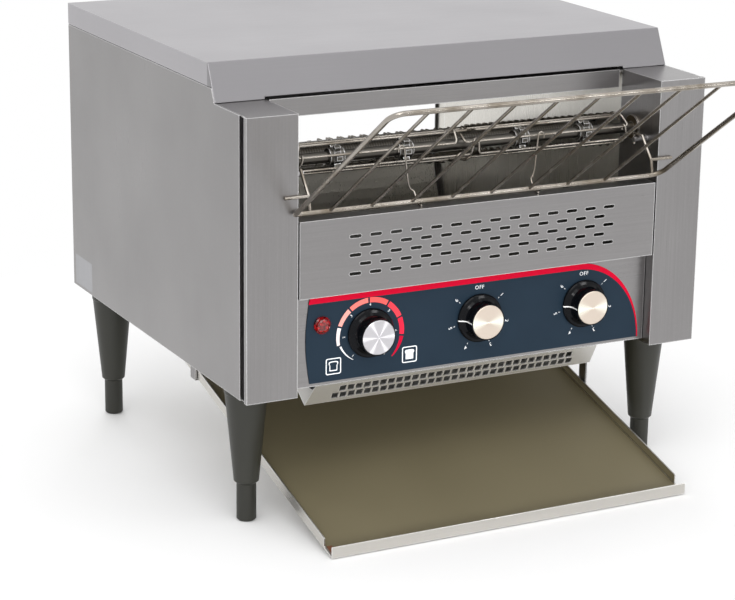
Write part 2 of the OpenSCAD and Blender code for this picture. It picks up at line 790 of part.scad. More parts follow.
// Curved sheet at the back that turns the toast round towards the tray.
module toast_slide() {
    r = slide_r;
    yc = body_d - sheet - gap - r;
    zc = outlet_z0 - 4;
    sweep = 60;
    run = 75;
    arc_out = [for (i = [0:12]) let(a = -i * sweep / 12) [yc + r * cos(a), zc + r * sin(a)]];
    arc_in = [for (i = [12:-1:0]) let(a = -i * sweep / 12) [yc + (r - sheet) * cos(a), zc + (r - sheet) * sin(a)]];
    dir = [-sin(sweep), -cos(sweep)];
    color(steel) at_front() side_plate(-wall_x + 3, 2 * wall_x - 6) polygon(concat(
        arc_out, [arc_out[12] + run * dir], [arc_in[0] + run * dir], arc_in
    ));
}

// ---------- tray, rack and legs ----------

module output_tray() {
    t = sheet;
    k = tan(tray_slope);
    y0 = -tray_out;
    y1 = tray_back;
    h0 = tray_clear;
    color("#8c8668") at_front() {
        side_plate(-tray_hw, 2 * tray_hw) polygon([
            [y0, h0], [y0 + 2, h0], [y1, h0 + (y1 - y0) * k], [y1, h0 + (y1 - y0) * k + t], [y0, h0 + t]
        ]);
        box([-tray_hw, y0, h0], [tray_hw, y0 + t, h0 + tray_lip]);
        for (s = [-1, 1]) on_side(s) side_plate(tray_hw - t, t) polygon([
            [y0 + 16, h0 + 16 * k], [y1, h0 + (y1 - y0) * k], [y1, h0 + (y1 - y0) * k + tray_flange],
            [y0 + 16, h0 + 16 * k + tray_flange]
        ]);
    }
}

// Strips under the base that the tray's floor rests in.
module tray_hangers() {
    color(steel) at_front() for (s = [-1, 1], y = [hanger_y - 115, hanger_y]) on_side(s) {
        z0 = tray_under(y) - gap;
        box([tray_hw + 0.6, y, z0 - 1.5], [tray_hw + 0.6 + 1.5, y + 12, floor_z]);
        box([tray_hw - 12, y, z0 - 1.5], [tray_hw + 0.6 + eps, y + 12, z0]);
    }
}

// A quarter bend of the rack's frame, from the direction a onwards.
module rack_corner(x, y, a) {
    translate([x, y, 0]) rotate([0, 0, a]) rotate_extrude(angle = 90)
        translate([rack_bend, 0]) circle(d = rod_d, $fn = 20);
}

module feed_rack() {
    tilt = atan2(rack_rise, rack_out + rack_y);
    reach = norm([rack_rise, rack_out + rack_y]);
    x0 = rack_cx - wall_x - rack_over;
    x1 = rack_cx + wall_x + rack_over;
    c = rack_bend;
    hx = hook_x;
    r = bar_d / 2;
    sy = -r - gap;
    over = peg_z + peg_d / 2 + r + gap;
    back = peg_y + peg_d / 2 + r + 2;
    color(bare_wire) at_front() {
        // frame with three bent corners and the bars between its back and front rods
        translate([0, rack_y, rack_z]) rotate([-tilt, 0, 0]) {
            rod([x0, 0, 0], [x1 - c, 0, 0], rod_d);
            rod([x0, 0, 0], [x0, c - reach, 0], rod_d);
            rod([x0 + c, -reach, 0], [x1 - c, -reach, 0], rod_d);
            rod([x1, -c, 0], [x1, c - reach, 0], rod_d);
            translate([x0, 0, 0]) sphere(d = rod_d + 0.2, $fn = 20);
            rack_corner(x0 + c, c - reach, 180);
            rack_corner(x1 - c, c - reach, 270);
            rack_corner(x1 - c, -c, 0);
            for (i = [0:rack_bars - 1]) let(x = rack_cx + (i - (rack_bars - 1) / 2) * rack_pitch - bar_shift)
                rod([x, 0, 0], [x, -reach, 0], bar_d, 16);
        }
        // a hook at each side, resting against the post and over its peg
        for (s = [-1, 1]) on_side(s) {
            rod([hx, rack_y, rack_z], [hx, sy, stop_bar_z], bar_d, 16);
            rod([hx, sy, stop_bar_z], [hx + 23, sy, stop_bar_z], bar_d, 16);
            rod([hx, sy, stop_bar_z], [hx, peg_y - 7, over], bar_d, 16);
            rod([hx, peg_y - 7, over], [hx, back, over], bar_d, 16);
            rod([hx, back, over], [hx, back, over - 10], bar_d, 16);
            for (p = [[sy, stop_bar_z], [peg_y - 7, over], [back, over]])
                translate([hx, p[0], p[1]]) sphere(d = bar_d + 0.2, $fn = 16);
        }
    }
}

module leg(x, y) {
    step = 2;
    bore_d = stem_d + 0.6;
    color("#3a3a37") at_front() translate([x, y, 0]) difference() {
        union() {
            rotate_extrude() polygon([
                [0, foot_h], [foot_d / 2 + 0.5, foot_h], [leg_end_d / 2, foot_h + step],
                [leg_top_d / 2 - 0.6, floor_z - 6], [leg_top_d / 2, floor_z - 5], [leg_top_d / 2, floor_z],
                [0, floor_z]
            ]);
            translate([0, 0, floor_z - eps]) cylinder(h = 18, d = stud_d);
        }
        translate([0, 0, foot_h - 1]) cylinder(h = stem_l + 3, d = bore_d);
    }
}
module leg_front_left() leg(-leg_x, leg_ys[0]);
module leg_front_right() leg(leg_x, leg_ys[0]);
module leg_rear_left() leg(-leg_x, leg_ys[1]);
module leg_rear_right() leg(leg_x, leg_ys[1]);

module foot(x, y) {
    color("#2e2e2c") at_front() translate([x, y, 0]) rotate_extrude() polygon([
        [0, 0], [foot_d / 2 - 1.5, 0], [foot_d / 2, 1.5], [foot_d / 2, foot_h - gap],
        [stem_d / 2, foot_h - gap], [stem_d / 2, foot_h + stem_l], [0, foot_h + stem_l]
    ]);
}
module foot_front_left() foot(-leg_x, leg_ys[0]);
module foot_front_right() foot(leg_x, leg_ys[0]);
module foot_rear_left() foot(-leg_x, leg_ys[1]);
module foot_rear_right() foot(leg_x, leg_ys[1]);

// ---------- controls ----------

// Places its children on the panel with +Z pointing out of it.
module on_panel(x, z) {
    at_front() translate([x, panel_setback - fascia_t, z]) rotate([90, 0, 0]) children();
}

module knob(x) {
    h = knob_h - fascia_t;
    r = knob_d / 2;
    rc = cap_d / 2;
    color(black) on_panel(x, knob_z) difference() {
        union() {
            rotate_extrude() polygon([
                [0, gap * 2], [r - 0.8, gap * 2], [r, 1.4], [r, 3], [r - 1, 4], [rc + 3, 4.8],
                [rc + 1, 6.4], [rc + 0.2, 8.8], [rc + 0.2, h - 2.2], [rc + 0.7, h - 1.3],
                [rc + 0.5, h - 0.3], [rc, h], [0, h]
            ]);
            translate([0, 0, -control_shaft_l]) cylinder(h = control_shaft_l + 2, d = control_shaft_d);
        }
        translate([0, 0, h - 1.6]) cylinder(h = 3, d = cap_d - 1);
    }
}
module speed_knob() knob(knob_x[0]);
module top_knob() knob(knob_x[1]);
module bottom_knob() knob(knob_x[2]);

module knob_cap(x) {
    h = knob_h - fascia_t;
    color("#d9cbb0") on_panel(x, knob_z) translate([0, 0, h - 1.6]) rotate_extrude() polygon([
        [0, 0], [cap_d / 2 - 0.5, 0], [cap_d / 2 - 0.5, 1.5], [cap_d / 2 - 1, 2], [0, 2.2]
    ]);
}
module speed_knob_cap() knob_cap(knob_x[0]);
module top_knob_cap() knob_cap(knob_x[1]);
module bottom_knob_cap() knob_cap(knob_x[2]);

// Threaded neck through the panel, with the running bore for the knob's shaft.
module control_neck(back) {
    difference() {
        union() {
            translate([0, 0, -back]) cylinder(h = back + 0.2, d = bushing_d);
            children();
        }
        translate([0, 0, -control_shaft_l - 1]) cylinder(h = control_shaft_l + 3, d = control_shaft_d + 2 * run_gap);
    }
}

module speed_regulator() {
    b = fascia_t + sheet;
    color("#6a6d70") on_panel(knob_x[0], knob_z) control_neck(b + 1)
        translate([0, 0, -b - 18]) cylinder(h = 18, d = 30);
}

module element_switch(x) {
    b = fascia_t + sheet;
    color("#d8d4c8") on_panel(x, knob_z) control_neck(b + 1)
        translate([-19, -19, -b - 30]) cube([38, 38, 30]);
}
module top_switch() element_switch(knob_x[1]);
module bottom_switch() element_switch(knob_x[2]);

module lamp_lens() {
    r = lamp_d / 2;
    color("#c01818") on_panel(lamp_x, lamp_z) rotate_extrude() polygon(concat(
        [[0, 0], [r, 0], [r, 2]],
        [for (a = [15:15:90]) [(r - 0.8) * cos(a), 2 + 5 * sin(a)]]
    ));
}

module lamp_body() {
    b = fascia_t + sheet;
    color("#d8d4c8") on_panel(lamp_x, lamp_z) {
        translate([0, 0, -b - 1]) cylinder(h = b + 1, d = lamp_neck_d);
        translate([0, 0, -b - 24]) cylinder(h = 24, d = lamp_neck_d + 5);
    }
}

// ---------- electrical bay ----------

module fan_frame() {
    z0 = floor_z + sheet;
    h = 25;
    color(black) at_front() translate([fan_x, fan_y, z0]) {
        difference() {
            translate([-fan_size / 2, -fan_size / 2, 0]) cube([fan_size, fan_size, h]);
            translate([0, 0, -1]) cylinder(h = h + 2, d = fan_size - 5);
            for (x = [-1, 1], y = [-1, 1])
                translate([x * (fan_size / 2 - 5), y * (fan_size / 2 - 5), -1]) cylinder(h = h + 2, d = 4.3);
        }
        cylinder(h = 4, d = 30);
        for (a = [0:90:270]) rotate([0, 0, a]) translate([0, -2, 0]) cube([fan_size / 2 - 1, 4, 3]);
        cylinder(h = 18, d = fan_pin_d);
    }
}

module fan_rotor() {
    z0 = floor_z + sheet + 4.5;
    color("#1d1d20") at_front() translate([fan_x, fan_y, z0]) difference() {
        union() {
            cylinder(h = 17, d = 30);
            for (a = [0:360 / 7:359]) rotate([0, 0, a])
                translate([12, 0, 8.5]) rotate([38, 0, 0]) translate([0, -9, -0.8])
                    cube([fan_size / 2 - 5 - 12, 18, 1.6]);
        }
        translate([0, 0, -1]) cylinder(h = 15.5, d = fan_pin_d + 2 * run_gap);
    }
}

module terminal_block() {
    z0 = floor_z + sheet;
    color("#e4e0d2") at_front() translate([terminal_x, terminal_y, z0]) difference() {
        union() {
            cube([72, 26, 10]);
            translate([0, 7, 10 - eps]) cube([72, 12, 8]);
        }
        for (i = [0:5], y = [3.5, 22.5])
            translate([6 + i * 12, y, 5]) cylinder(h = 6, d = 5);
    }
}

module cable_gland() {
    color(black) at_front() translate([gland_x, body_d, gland_z]) rotate([-90, 0, 0]) difference() {
        union() {
            translate([0, 0, -8]) cylinder(h = 8 + eps, d = gland_thread_d);
            translate([0, 0, -sheet - 4]) cylinder(h = 4, d = gland_thread_d + 8, $fn = 6);
            cylinder(h = 5, d = gland_thread_d + 9, $fn = 6);
            translate([0, 0, 5 - eps]) rotate_extrude() polygon([
                [0, 0], [gland_thread_d / 2 + 2.5, 0], [gland_thread_d / 2 + 2.5, 5],
                [gland_thread_d / 2, 9], [gland_thread_d / 2 - 3, gland_reach - 5], [0, gland_reach - 5]
            ]);
        }
        translate([0, 0, -9]) cylinder(h = gland_reach + 12, d = cable_bore_d);
    }
}

base_pan();
side_panel_left();
side_panel_right();
front_post_left();
front_post_right();
tunnel_wall_left();
tunnel_wall_right();
top_cover();
top_baffle();
front_guard();
control_panel();
fascia();
intake_grille();
rear_panel();
rear_top_rail();
bay_partition();
top_reflector();
bottom_reflector();
top_heaters();
bottom_heaters();
heater_holders();
belt_rails();
conveyor_belt();
drive_shaft();
drive_belt_sprockets();
idler_shaft();
idler_belt_sprockets();
shaft_bushes();
gearmotor();
motor_bracket();
motor_sprocket();
drive_sprocket();
drive_chain();
toast_slide();
output_tray();
tray_hangers();
feed_rack();
leg_front_left();
leg_front_right();
leg_rear_left();
leg_rear_right();
foot_front_left();
foot_front_right();
foot_rear_left();
foot_rear_right();
speed_knob();
top_knob();
bottom_knob();
speed_knob_cap();
top_knob_cap();
bottom_knob_cap();
speed_regulator();
top_switch();
bottom_switch();
lamp_lens();
lamp_body();
fan_frame();
fan_rotor();
terminal_block();
cable_gland();
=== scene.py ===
"""Conveyor toaster on four legs: finishes, belt wires, guides, printed fascia and dials."""

import math

import bmesh
import bpy
from bpy.props import FloatProperty, FloatVectorProperty, IntProperty, PointerProperty
from mathutils import Matrix, Vector


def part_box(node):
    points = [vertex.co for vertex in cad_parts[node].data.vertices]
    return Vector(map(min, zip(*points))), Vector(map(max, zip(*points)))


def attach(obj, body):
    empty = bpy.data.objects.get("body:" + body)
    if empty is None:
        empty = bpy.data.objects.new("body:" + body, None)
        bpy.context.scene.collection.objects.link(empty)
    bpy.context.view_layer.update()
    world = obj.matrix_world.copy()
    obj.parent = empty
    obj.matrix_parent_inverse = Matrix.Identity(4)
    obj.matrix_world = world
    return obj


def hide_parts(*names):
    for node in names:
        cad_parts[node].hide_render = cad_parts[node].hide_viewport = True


bl_info = {
    "name": "Conveyor Toaster",
    "version": (1, 0, 0),
    "blender": (4, 5, 0),
    "location": "3D View > Sidebar > Toaster",
    "description": "Builds the looks of a conveyor toaster around its fixed frame",
    "category": "Add Mesh",
}

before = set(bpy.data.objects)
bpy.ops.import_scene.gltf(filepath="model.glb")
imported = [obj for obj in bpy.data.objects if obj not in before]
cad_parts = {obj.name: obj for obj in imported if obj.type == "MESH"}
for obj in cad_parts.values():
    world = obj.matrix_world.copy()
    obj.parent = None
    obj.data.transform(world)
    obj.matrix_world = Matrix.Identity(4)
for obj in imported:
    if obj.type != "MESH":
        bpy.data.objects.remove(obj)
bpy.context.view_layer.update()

MM = 0.001
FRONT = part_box("front_post_left")[0].y
INK_DEPTH = 0.00015  # thickness of the printed figures


# ---------------- places


def at(x, y, z):
    """Point in metres from millimetres: right of the middle, behind the front, above the table."""
    return Vector((x * MM, FRONT + y * MM, z * MM))


def centre(node):
    """Middle of a node's box."""
    low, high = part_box(node)
    return (low + high) / 2


def srgb(red, green, blue):
    """Linear colour with alpha from 8-bit screen values."""
    linear = []
    for level in (red, green, blue):
        share = level / 255
        linear.append(share / 12.92 if share <= 0.04045 else ((share + 0.055) / 1.055) ** 2.4)
    return (*linear, 1.0)


def shade(colour, factor):
    """The same colour, lighter or darker."""
    return (*(min(1.0, c * factor) for c in colour[:3]), 1.0)


# ---------------- settings


def colour_property(name, description, default):
    return FloatVectorProperty(
        name=name, description=description, subtype="COLOR", size=4, min=0, max=1, default=default
    )


def length_property(name, description, default):
    return FloatProperty(
        name=name, description=description, default=default, min=0, unit="LENGTH", precision=5
    )


class SteelSettings(bpy.types.PropertyGroup):
    """Finish of the steel sheet."""

    panel: colour_property("Panels", "Brushed steel of the body", srgb(151, 149, 149))
    cover: colour_property("Cover", "Satin steel of the top cover", srgb(178, 176, 179))
    inside: colour_property("Tunnel", "Steel inside the toasting tunnel", srgb(226, 223, 216))
    wire: colour_property("Wire", "Bright wire of the rack and belt", srgb(168, 162, 154))
    coating: colour_property("Tray face", "Coated face of the output tray", srgb(114, 106, 82))
    roughness: FloatProperty(
        name="Roughness", description="Roughness of the sheet", default=0.33, min=0.05, max=1
    )
    edge: length_property("Edge", "Rounding of the sheet's cut edges", 0.0006)


class PrintSettings(bpy.types.PropertyGroup):
    """Printed fascia, its band and its dial marks."""

    slate: colour_property("Slate", "Ground colour of the fascia", srgb(32, 45, 57))
    band: colour_property("Band", "Band along the top of the fascia", srgb(190, 0, 41))
    ink: colour_property("Ink", "Dial figures and marks", srgb(236, 238, 240))
    band_width: length_property("Band width", "Width of the band along the top", 0.0055)
    band_end: length_property("Band end", "Width of the band where it runs out", 0.0012)
    figure_height: length_property("Figures", "Height of the dial figures", 0.0036)
    figure_radius: length_property("Figure circle", "Radius of the circle of figures", 0.0303)
    ring_radius: length_property("Ring", "Outer radius of the graded ring", 0.0341)


class BeltSettings(bpy.types.PropertyGroup):
    """Belt of linked wires."""

    wire: length_property("Wire", "Diameter of the belt wire", 0.0022)
    radius: length_property("Turn", "Radius at which the wires turn round the shafts", 0.013)
    links: IntProperty(name="Wires", description="Number of wires in the belt", default=52, min=20)
    stagger: length_property("Stagger", "Sideways step between neighbouring knuckles", 0.008)


class ControlSettings(bpy.types.PropertyGroup):
    """Knobs, caps and lamp."""

    plastic: colour_property("Plastic", "Knob skirts", srgb(9, 10, 13))
    champagne: colour_property("Champagne cap", "Caps of the element knobs", srgb(234, 219, 204))
    aluminium: colour_property("Aluminium cap", "Cap of the speed knob", srgb(214, 212, 216))
    lamp: colour_property("Lamp", "Lens of the power lamp", srgb(176, 4, 6))
    leg: colour_property("Legs", "Moulded legs and feet", srgb(38, 38, 32))


class StageSettings(bpy.types.PropertyGroup):
    """Floor, lights and camera."""

    floor: colour_property("Floor", "Colour of the floor", (0.95, 0.95, 0.95, 1))
    sky: FloatProperty(name="Sky", description="Strength of the soft light all round", default=0.85)
    key: FloatProperty(name="Key", description="Power of the large lamp above", default=24)
    focal: FloatProperty(name="Lens", description="Focal length in millimetres", default=115.76)


# ---------------- finishes


class Finish:
    """A node material with one principled shader."""

    def __init__(self, name):
        self.material = bpy.data.materials.new(name)
        self.material.use_nodes = True
        self.tree = self.material.node_tree
        self.shader = self.tree.nodes["Principled BSDF"]

    def node(self, kind, **settings):
        """A new node; a setting is an input's value where the node has an input of that name."""
        made = self.tree.nodes.new(kind)
        for key, value in settings.items():
            if key in made.inputs:
                made.inputs[key].default_value = value
            else:
                setattr(made, key, value)
        return made

    def link(self, source, target):
        self.tree.links.new(source, target)

    def set(self, **sockets):
        """Constants on the shader; underscores stand for spaces."""
        for key, value in sockets.items():
            self.shader.inputs[key.replace("_", " ")].default_value = value
        return self

    def coordinates(self, stretch=(1, 1, 1)):
        """Object coordinates, stretched per axis."""
        source = self.node("ShaderNodeTexCoord")
        mapping = self.node("ShaderNodeMapping", Scale=stretch)
        self.link(source.outputs["Object"], mapping.inputs["Vector"])
        return mapping.outputs["Vector"]

    def noise(self, vector, scale, detail=3.0, rough=0.55):
        made = self.node("ShaderNodeTexNoise", Scale=scale, Detail=detail, Roughness=rough)
        self.link(vector, made.inputs["Vector"])
        return made.outputs["Fac"]

    def within(self, **ranges):
        """One where the object coordinates lie in the given ranges, nought elsewhere."""
        source = self.node("ShaderNodeTexCoord")
        parts = self.node("ShaderNodeSeparateXYZ")
        self.link(source.outputs["Object"], parts.inputs["Vector"])
        mask = None
        for axis, (low, high) in ranges.items():
            value = parts.outputs[axis.upper()]
            above = self.math("GREATER_THAN", value, low)
            both = self.math("MULTIPLY", above, self.math("LESS_THAN", value, high))
            mask = both if mask is None else self.math("MULTIPLY", mask, both)
        return mask

    def worn_edge(self, radius=0.0013):
        """Mask of the painted edge highlight: one along cut and folded edges, nought on the flats.
        """
        rounded = self.node("ShaderNodeBevel", samples=4, Radius=radius)
        flat = self.node("ShaderNodeNewGeometry")
        dot = self.node("ShaderNodeVectorMath", operation="DOT_PRODUCT")
        self.link(rounded.outputs["Normal"], dot.inputs[0])
        self.link(flat.outputs["Normal"], dot.inputs[1])
        return self.spread(dot.outputs["Value"], 1.0, 0.0, 0.86, 0.985)

    def ramp(self, value, *stops):
        """Colour ramp through (place, colour) stops."""
        made = self.node("ShaderNodeValToRGB")
        band = made.color_ramp
        band.elements[0].position, band.elements[0].color = stops[0]
        band.elements[1].position, band.elements[1].color = stops[-1]
        for place, colour in stops[1:-1]:
            band.elements.new(place).color = colour
        self.link(value, made.inputs["Fac"])
        return made.outputs["Color"]

    def spread(self, value, low, high, start=0.3, end=0.7):
        """Maps a value from start..end to low..high."""
        made = self.node("ShaderNodeMapRange")
        limits = {"From Min": start, "From Max": end, "To Min": low, "To Max": high}
        for key, number in limits.items():
            made.inputs[key].default_value = number
        self.link(value, made.inputs["Value"])
        return made.outputs["Result"]

    def math(self, operation, first, second):
        made = self.node("ShaderNodeMath", operation=operation)
        for socket, value in zip(made.inputs, (first, second)):
            if isinstance(value, (int, float)):
                socket.default_value = value
            else:
                self.link(value, socket)
        return made.outputs["Value"]

    def mix(self, factor, first, second):
        made = self.node("ShaderNodeMix", data_type="RGBA")
        for key, value in ((0, factor), (6, first), (7, second)):
            if isinstance(value, (int, float, tuple)):
                made.inputs[key].default_value = value
            else:
                self.link(value, made.inputs[key])
        return made.outputs[2]

    def bump(self, height, strength, distance=0.0002):
        made = self.node("ShaderNodeBump", Strength=strength, Distance=distance)
        self.link(height, made.inputs["Height"])
        self.link(made.outputs["Normal"], self.shader.inputs["Normal"])

    def drift(self, value, colour, tone):
        """The colour, a little darker or lighter by a value."""
        return self.ramp(value, (0.3, shade(colour, 1 - tone)), (0.7, shade(colour, 1 + tone)))

    def colour(self, socket):
        self.link(socket, self.shader.inputs["Base Color"])

    def roughness(self, socket):
        self.link(socket, self.shader.inputs["Roughness"])


GRAIN = {"X": (14, 900, 900), "Y": (900, 14, 900), "Z": (900, 900, 14)}


def brushed_steel(
    name, colour, axis, roughness, tone=0.05, metal=1.0, rim=1.0, label=None, dark=None, dimmed=0.2
):
    """Sheet steel brushed along one axis, with faint smudges and a painted highlight on its edges.

    label and dark are ranges of object coordinates: of a bare label, and of a patch whose
    colour is dimmed as painted shade. rim is how bright the painted highlight on the edges is.
    """
    made = Finish(name).set(Metallic=metal)
    grain = made.noise(made.coordinates(GRAIN[axis]), 1.0, 4.0, 0.65)
    cloud = made.noise(made.coordinates(), 7.0, 3.0)
    fleck = made.noise(made.coordinates(), 320.0, 2.0)
    streaks = made.ramp(grain, (0.25, shade(colour, 1 - tone)), (0.75, shade(colour, 1 + tone)))
    smudged = made.mix(made.spread(cloud, 0.0, 0.5), streaks, shade(colour, 1 - 1.6 * tone))
    flecked = made.mix(made.spread(fleck, 0.0, 0.12, 0.55, 0.75), smudged, shade(colour, 1.25))
    # cut and folded edges are painted near white, scaled by rim: a painted highlight
    edged = made.mix(made.math("MULTIPLY", made.worn_edge(), rim), flecked, srgb(252, 252, 252))
    if label:
        stuck = made.within(**label)
        made.link(made.math("SUBTRACT", 1.0, stuck), made.shader.inputs["Metallic"])
        edged = made.mix(stuck, edged, srgb(150, 150, 153))
    # the dark patch is painted shade, its colour dimmed by the share dimmed
    if dark:
        edged = made.mix(made.within(**dark), edged, shade(colour, dimmed))
    made.colour(edged)
    streaky = made.spread(grain, roughness - 0.05, roughness + 0.05)
    made.roughness(made.math("ADD", streaky, made.spread(cloud, -0.03, 0.05)))
    made.bump(grain, 0.12)
    return made.material


def bright_wire(name, colour, roughness=0.17):
    """Nickel-plated wire, darker where heat has stained it."""
    made = Finish(name).set(Metallic=1.0)
    stain = made.noise(made.coordinates(), 38.0, 3.0)
    scratch = made.noise(made.coordinates((60, 60, 60)), 22.0, 2.0)
    tinted = (colour[0] * 0.5, colour[1] * 0.46, colour[2] * 0.4, 1)
    made.colour(made.ramp(stain, (0.42, colour), (0.72, tinted)))
    made.roughness(made.spread(stain, roughness, roughness + 0.16))
    made.bump(scratch, 0.08, 0.0001)
    return made.material


def moulded_plastic(name, colour, roughness, depth=0.1, tone=0.08):
    """Moulded plastic with a fine texture."""
    made = Finish(name).set(IOR=1.5)
    pebble = made.noise(made.coordinates(), 900.0, 2.0)
    cloud = made.noise(made.coordinates(), 24.0, 3.0)
    made.colour(made.drift(cloud, colour, tone))
    made.roughness(made.spread(cloud, roughness - 0.04, roughness + 0.06))
    made.bump(pebble, depth, 0.00008)
    return made.material


def glossy_knob(name, colour):
    """Polished black knob, with hairline scuffs."""
    made = Finish(name).set(IOR=1.38, Specular_IOR_Level=0.22)
    scuff = made.noise(made.coordinates((3, 1, 3)), 260.0, 3.0)
    made.colour(made.ramp(scuff, (0.4, colour), (0.8, shade(colour, 1.4))))
    made.roughness(made.spread(scuff, 0.08, 0.16))
    made.bump(scuff, 0.02, 0.0001)
    return made.material


def spun_cap(name, colour, rays, middle):
    """Metal cap turned on a lathe: fine rings, and a painted highlight in a burst of rays about the
    knob's axis.
    """
    made = Finish(name).set(Metallic=0.75, Anisotropic=0.55)
    source = made.node("ShaderNodeTexCoord")
    shift = made.node("ShaderNodeMapping", Location=-middle)
    made.link(source.outputs["Object"], shift.inputs["Vector"])
    parts = made.node("ShaderNodeSeparateXYZ")
    made.link(shift.outputs["Vector"], parts.inputs["Vector"])
    angle = made.math("ARCTAN2", parts.outputs["Z"], parts.outputs["X"])
    burst = made.math("COSINE", made.math("MULTIPLY", angle, rays), 0)
    ray_highlight = made.math("POWER", made.spread(burst, 0.0, 1.0, -1.0, 1.0), 7.0)
    squares = [made.math("MULTIPLY", parts.outputs[axis], parts.outputs[axis]) for axis in "XZ"]
    radius = made.math("SQRT", made.math("ADD", *squares), 0)
    rings = made.math("SINE", made.math("MULTIPLY", radius, 2 * math.pi / 0.0005), 0)
    # the rays are a painted highlight: lighter on the rays, darker between them
    made.colour(made.mix(ray_highlight, shade(colour, 0.84), shade(colour, 1.45)))
    made.roughness(made.spread(ray_highlight, 0.34, 0.2, 0.0, 1.0))
    made.bump(rings, 0.06, 0.00005)
    tangent = made.node("ShaderNodeTangent", direction_type="RADIAL", axis="Y")
    made.link(tangent.outputs["Tangent"], made.shader.inputs["Tangent"])
    return made.material


def printed_film(name, colour, roughness=0.3, tone=0.04):
    """Ink under a satin film."""
    made = Finish(name).set(IOR=1.46, Specular_IOR_Level=0.1)
    stipple = made.noise(made.coordinates(), 1500.0, 1.0)
    cloud = made.noise(made.coordinates(), 30.0, 2.0)
    made.colour(made.drift(cloud, colour, tone))
    made.roughness(made.spread(cloud, roughness - 0.03, roughness + 0.05))
    made.bump(stipple, 0.05, 0.00005)
    return made.material


def jewel_lens(name, colour):
    """Red lamp lens, cut into small facets on the inside, each with a painted highlight and shade.
    """
    made = Finish(name).set(IOR=1.49, Transmission_Weight=0.35, Emission_Strength=0.05)
    made.set(Coat_Weight=0.8, Coat_Roughness=0.03)
    cells = made.node("ShaderNodeTexVoronoi", feature="F1", Scale=330.0)
    made.link(made.coordinates(), cells.inputs["Vector"])
    depth = cells.outputs["Distance"]
    # facet middles painted lighter and facet rims nearly black: painted highlight and shade of the
    # facets
    tones = ((0.0, 1.9), (0.4, 0.7), (0.8, 0.08))
    red = made.ramp(depth, *((place, shade(colour, tone)) for place, tone in tones))
    made.colour(red)
    made.link(red, made.shader.inputs["Emission Color"])
    made.roughness(made.spread(depth, 0.05, 0.2, 0.0, 0.8))
    made.bump(depth, 0.35, 0.0004)
    return made.material


def coated_face(name, colour):
    """Dull brown-green coating of the tray, with rubbed patches and painted shade in its front-left
    corner.
    """
    made = Finish(name).set(Metallic=0.15)
    cloud = made.noise(made.coordinates(), 9.0, 4.0)
    grit = made.noise(made.coordinates(), 700.0, 2.0)
    # a brown patch in the front-left corner, darker than the face: painted shade in the corner
    corner_shade = made.within(x=(-0.2, -0.1775), y=(-0.21, -0.187))
    made.colour(made.mix(corner_shade, made.drift(cloud, colour, 0.04), srgb(112, 70, 48)))
    made.roughness(made.spread(cloud, 0.5, 0.62))
    made.bump(grit, 0.05, 0.0001)
    return made.material


def quartz_tube(name):
    """Milky quartz tube with the coil showing through."""
    made = Finish(name).set(IOR=1.46, Coat_Weight=0.5, Coat_Roughness=0.05)
    wave = made.node("ShaderNodeTexWave", bands_direction="X", Scale=120.0, Distortion=0.6)
    made.link(made.coordinates(), wave.inputs["Vector"])
    coil = wave.outputs["Fac"]
    made.colour(made.ramp(coil, (0.35, srgb(150, 146, 138)), (0.8, srgb(112, 104, 94))))
    made.roughness(made.spread(coil, 0.12, 0.3, 0.0, 1.0))
    made.bump(coil, 0.05, 0.0002)
    return made.material


# ---------------- making pieces


def add_piece(name, shape, material, body, smooth=40):
    """Turns a bmesh into a piece that rides on a body."""
    bmesh.ops.recalc_face_normals(shape, faces=shape.faces)
    mesh = bpy.data.meshes.new(name)
    shape.to_mesh(mesh)
    shape.free()
    mesh.materials.append(material)
    mesh.shade_smooth()
    mesh.set_sharp_from_angle(angle=math.radians(smooth))
    piece = bpy.data.objects.new(name, mesh)
    bpy.context.scene.collection.objects.link(piece)
    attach(piece, body)
    return piece


def skin(shape, rings, closed=False):
    """Solid through rings of points, either closed on itself or capped at both ends."""
    rings = [[shape.verts.new(point) for point in ring] for ring in rings]
    for one, two in zip(rings, rings[1:] + rings[:1] if closed else rings[1:]):
        for k in range(len(one)):
            j = (k + 1) % len(one)
            shape.faces.new((one[k], one[j], two[j], two[k]))
    if not closed:
        shape.faces.new(rings[0][::-1])
        shape.faces.new(rings[-1])


def sweep(shape, path, radius, sides=8):
    """Round wire along a path of points."""
    turns = [2 * math.pi * k / sides for k in range(sides)]
    rings = []
    side = None
    for before, point, after in zip([path[0], *path], path, [*path[1:], path[-1]]):
        along = (after - before).normalized()
        if side is None:
            helper = Vector((0, 0, 1)) if abs(along.z) < 0.9 else Vector((1, 0, 0))
            side = along.cross(helper).normalized()
        side = (side - along * side.dot(along)).normalized()
        up = along.cross(side)
        rings.append([point + radius * (side * math.cos(t) + up * math.sin(t)) for t in turns])
    skin(shape, rings)


def rounded(points, radius, steps=2):
    """The same path with each inner corner turned into a bend."""
    path = [points[0]]
    for before, corner, after in zip(points, points[1:], points[2:]):
        reach_in = min(radius, (before - corner).length * 0.49)
        reach_out = min(radius, (after - corner).length * 0.49)
        start = corner + (before - corner).normalized() * reach_in
        end = corner + (after - corner).normalized() * reach_out
        for k in range(steps + 1):
            t = k / steps
            path.append(start * (1 - t) ** 2 + corner * 2 * t * (1 - t) + end * t * t)
    path.append(points[-1])
    return path


def plate(shape, outline, front, back):
    """Flat plate with an outline in X and Z, between two depths."""
    skin(shape, [[(x, y, z) for x, z in outline] for y in (front, back)])


def strip(shape, outer, inner, front, back, closed=False):
    """Flat strip between two outlines with as many points each."""
    rings = []
    for (x, z), (u, w) in zip(outer, inner):
        rings.append([(x, front, z), (u, front, w), (u, back, w), (x, back, z)])
    skin(shape, rings, closed)


